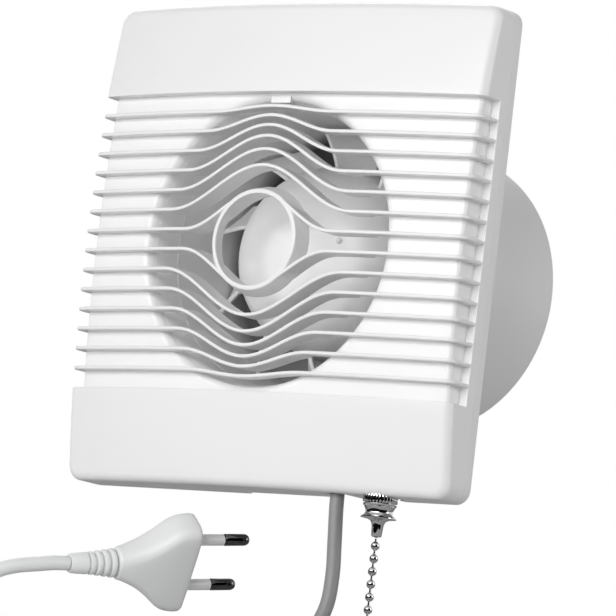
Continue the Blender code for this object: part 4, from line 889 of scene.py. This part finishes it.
def smooth_line(points, spacing):
    """Even points on a smooth curve through the given ones."""
    line = [Vector(point) for point in points]
    line = [2 * line[0] - line[1]] + line + [2 * line[-1] - line[-2]]
    fine = []
    for a, b, c, d in zip(line, line[1:], line[2:], line[3:]):
        for step in range(16):
            t = step / 16
            bend = (2 * a - 5 * b + 4 * c - d) * t**2 + (3 * b - 3 * c + d - a) * t**3
            fine.append((2 * b + (c - a) * t + bend) / 2)
    fine.append(line[-2])
    lengths = [0.0]
    for a, b in zip(fine, fine[1:]):
        lengths.append(lengths[-1] + (b - a).length)
    count = round(lengths[-1] / spacing)
    made, at = [], 0
    for step in range(count + 1):
        wanted = lengths[-1] * step / count
        while at < len(fine) - 2 and lengths[at + 1] < wanted:
            at += 1
        share = (wanted - lengths[at]) / (lengths[at + 1] - lengths[at])
        made.append(fine[at].lerp(fine[at + 1], share))
    return made, lengths[-1]


def cord(name, points, diameter):
    """A round cord as a mesh tube, swept along a line of points and closed at both ends."""
    curve = bpy.data.curves.new(name, "CURVE")
    curve.dimensions = "3D"
    curve.bevel_depth = diameter / 2
    curve.bevel_resolution = 5
    curve.use_fill_caps = True
    spline = curve.splines.new("POLY")
    spline.points.add(len(points) - 1)
    for point, place in zip(spline.points, points):
        point.co = (*place, 1.0)
    made = bpy.data.objects.new(name, curve)
    scene.collection.objects.link(made)
    alone(made)
    bpy.ops.object.convert(target="MESH")
    return bpy.context.object


lead_points, lead_length = smooth_line(route, 0.0025)
lead = cord("mains_lead", lead_points, CABLE)

under_strap = 0.0
for a, b in zip(lead_points, lead_points[1:]):
    under_strap += (b - a).length
    on_left = b.x < COIL_CENTRE.x - COIL_OUTER / 2
    if on_left and 0.0 < COIL_CENTRE.z - b.z < UNDER_STRAP:
        break
share_grey = lead.data.attributes.new("grey", "FLOAT", "POINT")
ring = len(lead.data.vertices) // len(lead_points)
shares = [(index // ring) / (len(lead_points) - 1) for index in range(len(lead.data.vertices))]
share_grey.data.foreach_set("value", [float(share * lead_length < under_strap) for share in shares])

jacket = Finish("lead_jacket", (0.80, 0.81, 0.81), 0.45)
grey_part = jacket.node("ShaderNodeAttribute", {"attribute_name": "grey"}, {}, "Fac")
jacket.tint(grey_part, JACKET)
jacket.gloss(jacket.noise(300.0), 0.14)
jacket.relief(jacket.noise(1800.0, 3.0), 0.00003, 0.5)
lead_nodes = ["mains_cable", "cable_coil", "plug_lead"]
finished(lead, "housing", jacket.material, lead_nodes, angle=60.0)


# One strap holds the coil together at its left side. It is black woven tape with a hook-and-loop end,
# wrapped once round all the turns.
STRAP_WIDTH = 0.008
STRAP_WALL = 0.0008
STRAP_CORNER = 0.0026
OPENING_CORNER = 0.0019
clear = CABLE / 2 + 2 * CLEARANCE
strap_inner = COIL_OUTER - COIL_PITCH * COIL_TURNS / 2 - clear
strap_outer = COIL_OUTER - COIL_PITCH / 2 + clear
strap_deep = COIL_PITCH / 2 + clear
low = COIL_CENTRE - Vector((strap_outer, strap_deep, STRAP_WIDTH / 2))
high = COIL_CENTRE + Vector((-strap_inner, strap_deep, STRAP_WIDTH / 2))
wall = Vector((STRAP_WALL, STRAP_WALL, 0.0))
strap = block("coil_strap", low - wall, high + wall)
round_along(strap, 2, STRAP_CORNER, 6)
opening = block("opening", low - Vector((0, 0, 0.01)), high + Vector((0, 0, 0.01)))
round_along(opening, 2, OPENING_CORNER, 6)
combine(strap, "DIFFERENCE", opening)
rounded_edges(strap, 0.0002)
weave = Finish("tie_strap", (0.03, 0.03, 0.032), 0.85)
threads = []
for direction, scale in (("Z", 500.0), ("DIAGONAL", 300.0)):
    inputs = {"Vector": weave.place(), "Scale": scale}
    threads.append(weave.node("ShaderNodeTexWave", {"bands_direction": direction}, inputs))
woven = threads[0] * threads[1]
weave.tint(woven, (0.09, 0.09, 0.095))
weave.relief(woven, 0.0002, 0.8)
finished(strap, "housing", weave.material, ["coil_tie"])


# The plug is a flat two-pin one, moulded on the lead in soft white plastic: a body that widens
# to its face, a ribbed relief at the lead, and two pins with white sleeves and plated tips.
PLUG_WIDTH = 0.0353
PLUG_THICKNESS = 0.0137
PIN_SPACING = 0.0186
PIN_RADIUS = 0.002
PLUG_EDGE = 0.0038
RELIEF_RADIUS = 0.0048
RELIEF_TAPER = 0.0013
RELIEF_RIBS = 4
SLEEVE_RADIUS = 0.0019
SLEEVE_END = 0.0103
TIP_ROUND = 0.0176

across = Matrix.Rotation(PLUG_ROLL, 3, PLUG_AXIS) @ Vector((0.0, 0.0, 1.0)).cross(PLUG_AXIS).normalized()
basis = Matrix((PLUG_AXIS, across, PLUG_AXIS.cross(across))).transposed().to_4x4()
plug_place = Matrix.Translation(PLUG_FACE) @ basis
PLUG_WHITE = moulded("plug_plastic", (0.84, 0.845, 0.85), 0.42, 1600.0, 0.00002)

stations = (
    (-1.0, 0.30, 0.72),
    (-0.88, 0.33, 0.78),
    (-0.70, 0.44, 0.86),
    (-0.52, 0.64, 0.93),
    (-0.38, 0.85, 0.98),
    (-0.26, 0.97, 1.0),
    (-0.05, 1.0, 1.0),
    (0.0, 0.96, 0.93),
)
first_share, last_wide, last_thick = stations[0]
last_share = -0.94
body = block(
    "plug_moulding",
    (PLUG_LENGTH * first_share, -PLUG_WIDTH / 2 * last_wide, -PLUG_THICKNESS / 2 * last_thick),
    (PLUG_LENGTH * last_share, PLUG_WIDTH / 2 * last_wide, PLUG_THICKNESS / 2 * last_thick),
)
edit(body)
for share, wide, thick in stations[1:]:
    select("faces", lambda face: face.normal.x > 0.9)
    bpy.ops.mesh.extrude_region_move(
        TRANSFORM_OT_translate={"value": (PLUG_LENGTH * (share - last_share), 0.0, 0.0)}
    )
    bpy.ops.transform.resize(
        value=(1.0, wide / last_wide, thick / last_thick),
        center_override=(PLUG_LENGTH * share, 0.0, 0.0),
    )
    last_share, last_wide, last_thick = share, wide, thick
leave()
round_along(body, 0, PLUG_EDGE, 4, 0.3)
round_over = body.modifiers.new("round", "SUBSURF")
round_over.levels = round_over.render_levels = 2
apply_all(body)
body.data.transform(plug_place)
finished(body, "housing", PLUG_WHITE, ["plug_body"], angle=60.0)

start = -PLUG_LENGTH - CLEARANCE
ribbed = RELIEF_LENGTH * 0.62
relief_end = start - RELIEF_LENGTH
relief_profile = [(0.0, start)]
for number in range(RELIEF_RIBS):
    share = number / RELIEF_RIBS
    outer = RELIEF_RADIUS - RELIEF_TAPER * share
    high = start - ribbed * share
    low = high - ribbed / RELIEF_RIBS * 0.6
    relief_profile += [(outer * 0.97, high - 0.0001), (outer, high - 0.0004), (outer, low + 0.0003)]
    relief_profile += [(outer * 0.97, low), (outer * 0.8, low - 0.0002)]
    relief_profile.append((outer * 0.78, start - ribbed * (number + 1) / RELIEF_RIBS + 0.0002))
relief_profile += [(0.0037, start - ribbed), (0.0033, relief_end + 0.0008)]
relief_profile += [(0.0030, relief_end), (0.0, relief_end)]
relief = spun("plug_strain_relief", relief_profile, 48, upright=(0, 0), closed=False)
relief.data.transform(plug_place @ Matrix.Rotation(math.pi / 2, 4, "Y"))
finished(relief, "housing", PLUG_WHITE, ["plug_relief"], angle=50.0)

SLEEVE_WHITE = moulded("pin_sleeve", (0.85, 0.85, 0.85), 0.4)
PIN_METAL = plated("pin_metal", (0.10, 0.10, 0.10), 0.12)
sleeve_profile = [(0.0, CLEARANCE), (SLEEVE_RADIUS, CLEARANCE), (SLEEVE_RADIUS, SLEEVE_END - 0.0002)]
sleeve_profile += [(SLEEVE_RADIUS - 0.0001, SLEEVE_END), (0.0, SLEEVE_END)]
tip_profile = [(0.0, SLEEVE_END + CLEARANCE), (SLEEVE_RADIUS, SLEEVE_END + CLEARANCE)]
tip_profile += [(PIN_RADIUS, SLEEVE_END + CLEARANCE + 0.0001), (PIN_RADIUS, TIP_ROUND)]
for degrees in (20, 40, 60, 80):
    across, along = polar(PIN_RADIUS, degrees)
    tip_profile.append((0.3 * PIN_RADIUS + 0.7 * across, TIP_ROUND + along))
tip_profile.append((0.0, TIP_ROUND + PIN_RADIUS))
pins = []
for number, side in enumerate((-1, 1), 1):
    offset = Matrix.Translation((0.0, side * PIN_SPACING / 2, 0.0)) @ Matrix.Rotation(math.pi / 2, 4, "Y")
    sleeve = spun(f"sleeve_{number}", sleeve_profile, 32, upright=(0, 0), closed=False)
    sleeve.data.transform(plug_place @ offset)
    finished(sleeve, "housing", SLEEVE_WHITE, [f"pin_sleeve_{number}"])
    tip = spun(f"tip_{number}", tip_profile, 32, upright=(0, 0), closed=False)
    tip.data.transform(plug_place @ offset)
    finished(tip, "housing", PIN_METAL, [f"pin_tip_{number}"], angle=50.0)
    pins += [sleeve, tip]


# The cover is one thin white moulding: a pillow-shaped front with plain panels above and below,
# ribs across a sunken band between them that arch round a ring, and an inlet behind the ribs.
# It is modelled with a flat front, which then falls back towards its edges.
FRONT = -0.0285
COVER_BACK = -PLATE - SEAM
FRONT_FILLET = 0.0027
EDGE_LEAN = LEAN * 0.0131
RIBS = 14
RIB_PITCH = 0.00674
BAND = (RIBS + 1) / 2 * RIB_PITCH
RECESS = 0.004
SIDE_RECESS = 0.003
LIP_WALL = 0.0015
RIGID = 0.0221
RIB_WALL = 0.0012
RIB_DEPTH = 0.0086
RIB_EDGE = 0.00042
RIB_SETBACK = 0.0001
RIB_HEEL = 0.0008
RING_RADIUS = 0.0163
RING_WALL = 0.0016
RING_DEPTH = 0.0062
RING_FLARE = 0.0017
GRID = (0.0073, 0.0076)
TAB_WIDTH = 0.008
TAB_DROP = 0.0032
GROMMET_WALL = 0.0016
SLOT = (-0.085, -0.0755)
ARCHES = (
    (0.0019, 0.024),
    (0.0054, 0.026),
    (0.0088, 0.029),
    (0.0118, 0.032),
    (0.01395, 0.035),
    (0.0152, 0.037),
    (0.0129, 0.030),
)


def slab(name, inset, front_in, back, corner, fillet):
    """The cover's outer form, drawn in by inset at the sides and by front_in at the front."""
    front = FRONT + front_in
    wide = HALF_WIDTH - inset - LEAN * max(0.0, -back)
    high = HALF_HEIGHT - inset - LEAN * max(0.0, -back)
    made = panel(name, wide, high, corner, front, back)
    edit(made)
    select("verts", lambda vertex: vertex.co.y < front + 0.00001)
    factor_x = (HALF_WIDTH - inset - EDGE_LEAN) / wide
    factor_z = (HALF_HEIGHT - inset - EDGE_LEAN) / high
    bpy.ops.transform.resize(value=(factor_x, 1.0, factor_z), center_override=(0.0, front, 0.0))
    select("edges", lambda edge: all(vertex.co.y < front + 0.00001 for vertex in edge.verts))
    bpy.ops.mesh.bevel(offset=fillet, segments=6, affect="EDGES")
    leave()
    return made


def fall_back(obj):
    """Lets a flat-fronted piece fall back towards the cover's edges, and leaves the skirt as it is."""
    for vertex in obj.data.vertices:
        share = max(0.0, min(1.0, (-vertex.co.y - SKIRT) / (RIGID - SKIRT)))
        vertex.co.y += front_drop(vertex.co.x, vertex.co.z) * share
    return obj


def sharp_in_front(edge):
    """Whether an edge is a sharp one and lies in front of the cover's skirt."""
    in_front = all(vertex.co.y < -SKIRT + 0.0001 for vertex in edge.verts)
    return in_front and edge.calc_face_angle(0.0) > 1.0


cover = slab("cover", 0.0, 0.0, COVER_BACK, CORNER, FRONT_FILLET)
combine(cover, "DIFFERENCE", block("band", (-0.1, -0.1, -BAND), (0.1, -SKIRT, BAND)))
edit(cover)
select("edges", sharp_in_front)
bpy.ops.mesh.bevel(offset=CHAMFER, segments=2, affect="EDGES")
leave()
combine(cover, "UNION", slab("sunken", SIDE_RECESS, RECESS, COVER_BACK - COVER_WALL, 0.005, 0.0012))
cavity = slab("cavity", COVER_WALL, COVER_WALL, 0.001, CORNER - COVER_WALL, FRONT_FILLET - COVER_WALL)
kept = BAND + COVER_WALL
combine(cavity, "DIFFERENCE", block("kept", (-0.1, -0.1, -kept), (0.1, -SKIRT + COVER_WALL, kept)))
band_cavity = slab("band_cavity", SIDE_RECESS + COVER_WALL, RECESS + COVER_WALL, 0.0005, 0.003, 0.001)
combine(cavity, "UNION", band_cavity)
combine(cover, "DIFFERENCE", cavity)
depths = [FLOOR_WALL * 1.1 * step / 8 for step in range(9)]
mouth_profile = [(0.0, -0.06), (inlet(0.0), -0.06)]
mouth_profile += [(inlet(depth), FLOOR_FRONT + depth) for depth in depths]
mouth_profile += [(inlet(depths[-1]), 0.0), (0.0, 0.0)]
mouth_tool = spun("mouth_tool", mouth_profile, 128, closed=False)
limit = BAND - 2 * CLEARANCE
combine(mouth_tool, "INTERSECT", block("limit", (-0.1, -0.1, -limit), (0.1, 0.1, limit)))
combine(cover, "DIFFERENCE", mouth_tool)
edit(cover)
for step in range(-10, 11):
    bpy.ops.mesh.select_all(action="SELECT")
    bpy.ops.mesh.bisect(plane_co=(GRID[0] * step, 0.0, 0.0), plane_no=(1.0, 0.0, 0.0))
    bpy.ops.mesh.select_all(action="SELECT")
    bpy.ops.mesh.bisect(plane_co=(0.0, 0.0, GRID[1] * step), plane_no=(0.0, 0.0, 1.0))
leave()
fall_back(cover)

lip_front = FLOOR_WALL - 0.0003
lip_back = mouth_depth - SEAM
lip_line = [(inlet(lip_front) + CHAMFER, FLOOR_FRONT + lip_front)]
lip_line += [(inlet(depth) + SEAM, FLOOR_FRONT + depth) for depth in (FLOOR_WALL, 0.0028, lip_back)]
lip_profile = lip_line + [(radius + LIP_WALL, y) for radius, y in lip_line[::-1]]
lip = spun("lip", lip_profile, 132)
for vertex in lip.data.vertices:
    share = min(1.0, (FLOOR_FRONT + lip_back - vertex.co.y) / (lip_back - FLOOR_WALL))
    vertex.co.y += mouth_drop + (front_drop(vertex.co.x, vertex.co.z) - mouth_drop) * share
combine(lip, "INTERSECT", block("limit", (-0.1, -0.1, -BAND - 0.001), (0.1, 0.1, BAND + 0.001)))
combine(cover, "UNION", lip)


def rib_height(number, x):
    """How high a rib runs at x: level, with an arch over or under the ring."""
    upper = number <= RIBS // 2
    rise, half_width = ARCHES[(number if upper else RIBS + 1 - number) - 1]
    bump = 0.0
    if abs(x) < half_width:
        bump = rise * (1 + math.cos(math.pi * x / half_width)) / 2
    return ((RIBS + 1) / 2 - number) * RIB_PITCH + (bump if upper else -bump)


def rib_stations():
    """Places along a rib from the middle outwards: its outer edge (x, y), then its inner edge (x, y)."""
    edge = HALF_WIDTH - EDGE_LEAN - RIB_SETBACK
    flat = edge - FRONT_FILLET
    inner = edge - SIDE_RECESS - COVER_WALL / 2
    low = FRONT + RECESS + COVER_WALL / 2
    made = []
    for step in range(37):
        made.append((flat * step / 36, FRONT + RIB_SETBACK, (inner - RIB_HEEL) * step / 36, low))
    for degrees in (15, 30, 45, 60, 75, 90):
        across, along = math.sin(math.radians(degrees)), 1 - math.cos(math.radians(degrees))
        made.append(
            (
                flat + FRONT_FILLET * across,
                FRONT + RIB_SETBACK + FRONT_FILLET * along,
                inner - RIB_HEEL + RIB_HEEL * across,
                low + RIB_HEEL * along,
            )
        )
    made.append((edge + EDGE_LEAN - LEAN * SKIRT, -SKIRT + 0.0005, inner, -SKIRT + 0.0005))
    return made


def rib(number):
    """One rib: a strip through its stations, given its wall and its round edges."""
    right = rib_stations()
    left = [(-x, y, -inner, low) for x, y, inner, low in right[:0:-1]]
    stations = left + right
    bpy.ops.mesh.primitive_grid_add(x_subdivisions=len(stations) - 1, y_subdivisions=1, size=1.0)
    strip = bpy.context.object
    strip.name = f"rib_{number}"
    for vertex in strip.data.vertices:
        x, y, inner, low = stations[round((vertex.co.x + 0.5) * (len(stations) - 1))]
        z = rib_height(number, x)
        if vertex.co.y > 0.0:
            if math.hypot(x, z) < inlet(lip_back) - RIB_PITCH / 2:
                low = FRONT + RIB_DEPTH
            x, y = inner, low
        vertex.co = (x, y, z)
    walled(strip, RIB_WALL)
    face_outwards(strip)
    return rounded_edges(strip, RIB_EDGE, 3, 60.0)


ribs = fall_back(joined([rib(number) for number in range(1, RIBS + 1)]))
ring_radii = (RING_RADIUS - RING_WALL / 2, RING_RADIUS + RING_WALL / 2)
ring_profile = [(radius, FRONT + RIB_SETBACK) for radius in ring_radii]
ring_profile += [(radius + RING_FLARE, FRONT + RING_DEPTH) for radius in ring_radii[::-1]]
ring = fall_back(spun("ring", soften(ring_profile, 0.0005), 96))
tab_y = FRONT + RECESS
tab_low = (-TAB_WIDTH / 2, tab_y + 0.0003, BAND - TAB_DROP)
tab = block("tab", tab_low, (TAB_WIDTH / 2, tab_y + 0.0019, BAND + 0.001), 0.0003)
combine(cover, "UNION", ribs, ring, fall_back(tab))
cable_slot = (*CABLE_EXIT[:2], CABLE / 2 + GROMMET_WALL)
for x, y, radius in (cable_slot, (*SWITCH, STEM_RADIUS + CLEARANCE)):
    slot = block("slot", (x - radius, y, SLOT[0]), (x + radius, 0.001, SLOT[1]))
    slot_end = bar("slot_end", radius, (x, y, SLOT[0] - 0.0002), (x, y, SLOT[1] + 0.0002), 48)
    combine(slot, "UNION", slot_end)
    combine(cover, "DIFFERENCE", slot)
cover.name = "louvred_cover"
COVER_WHITE = moulded("cover_plastic", (0.875, 0.875, 0.875), 0.33)
finished(cover, "housing", COVER_WHITE, ["front_cover"], weighted=True)
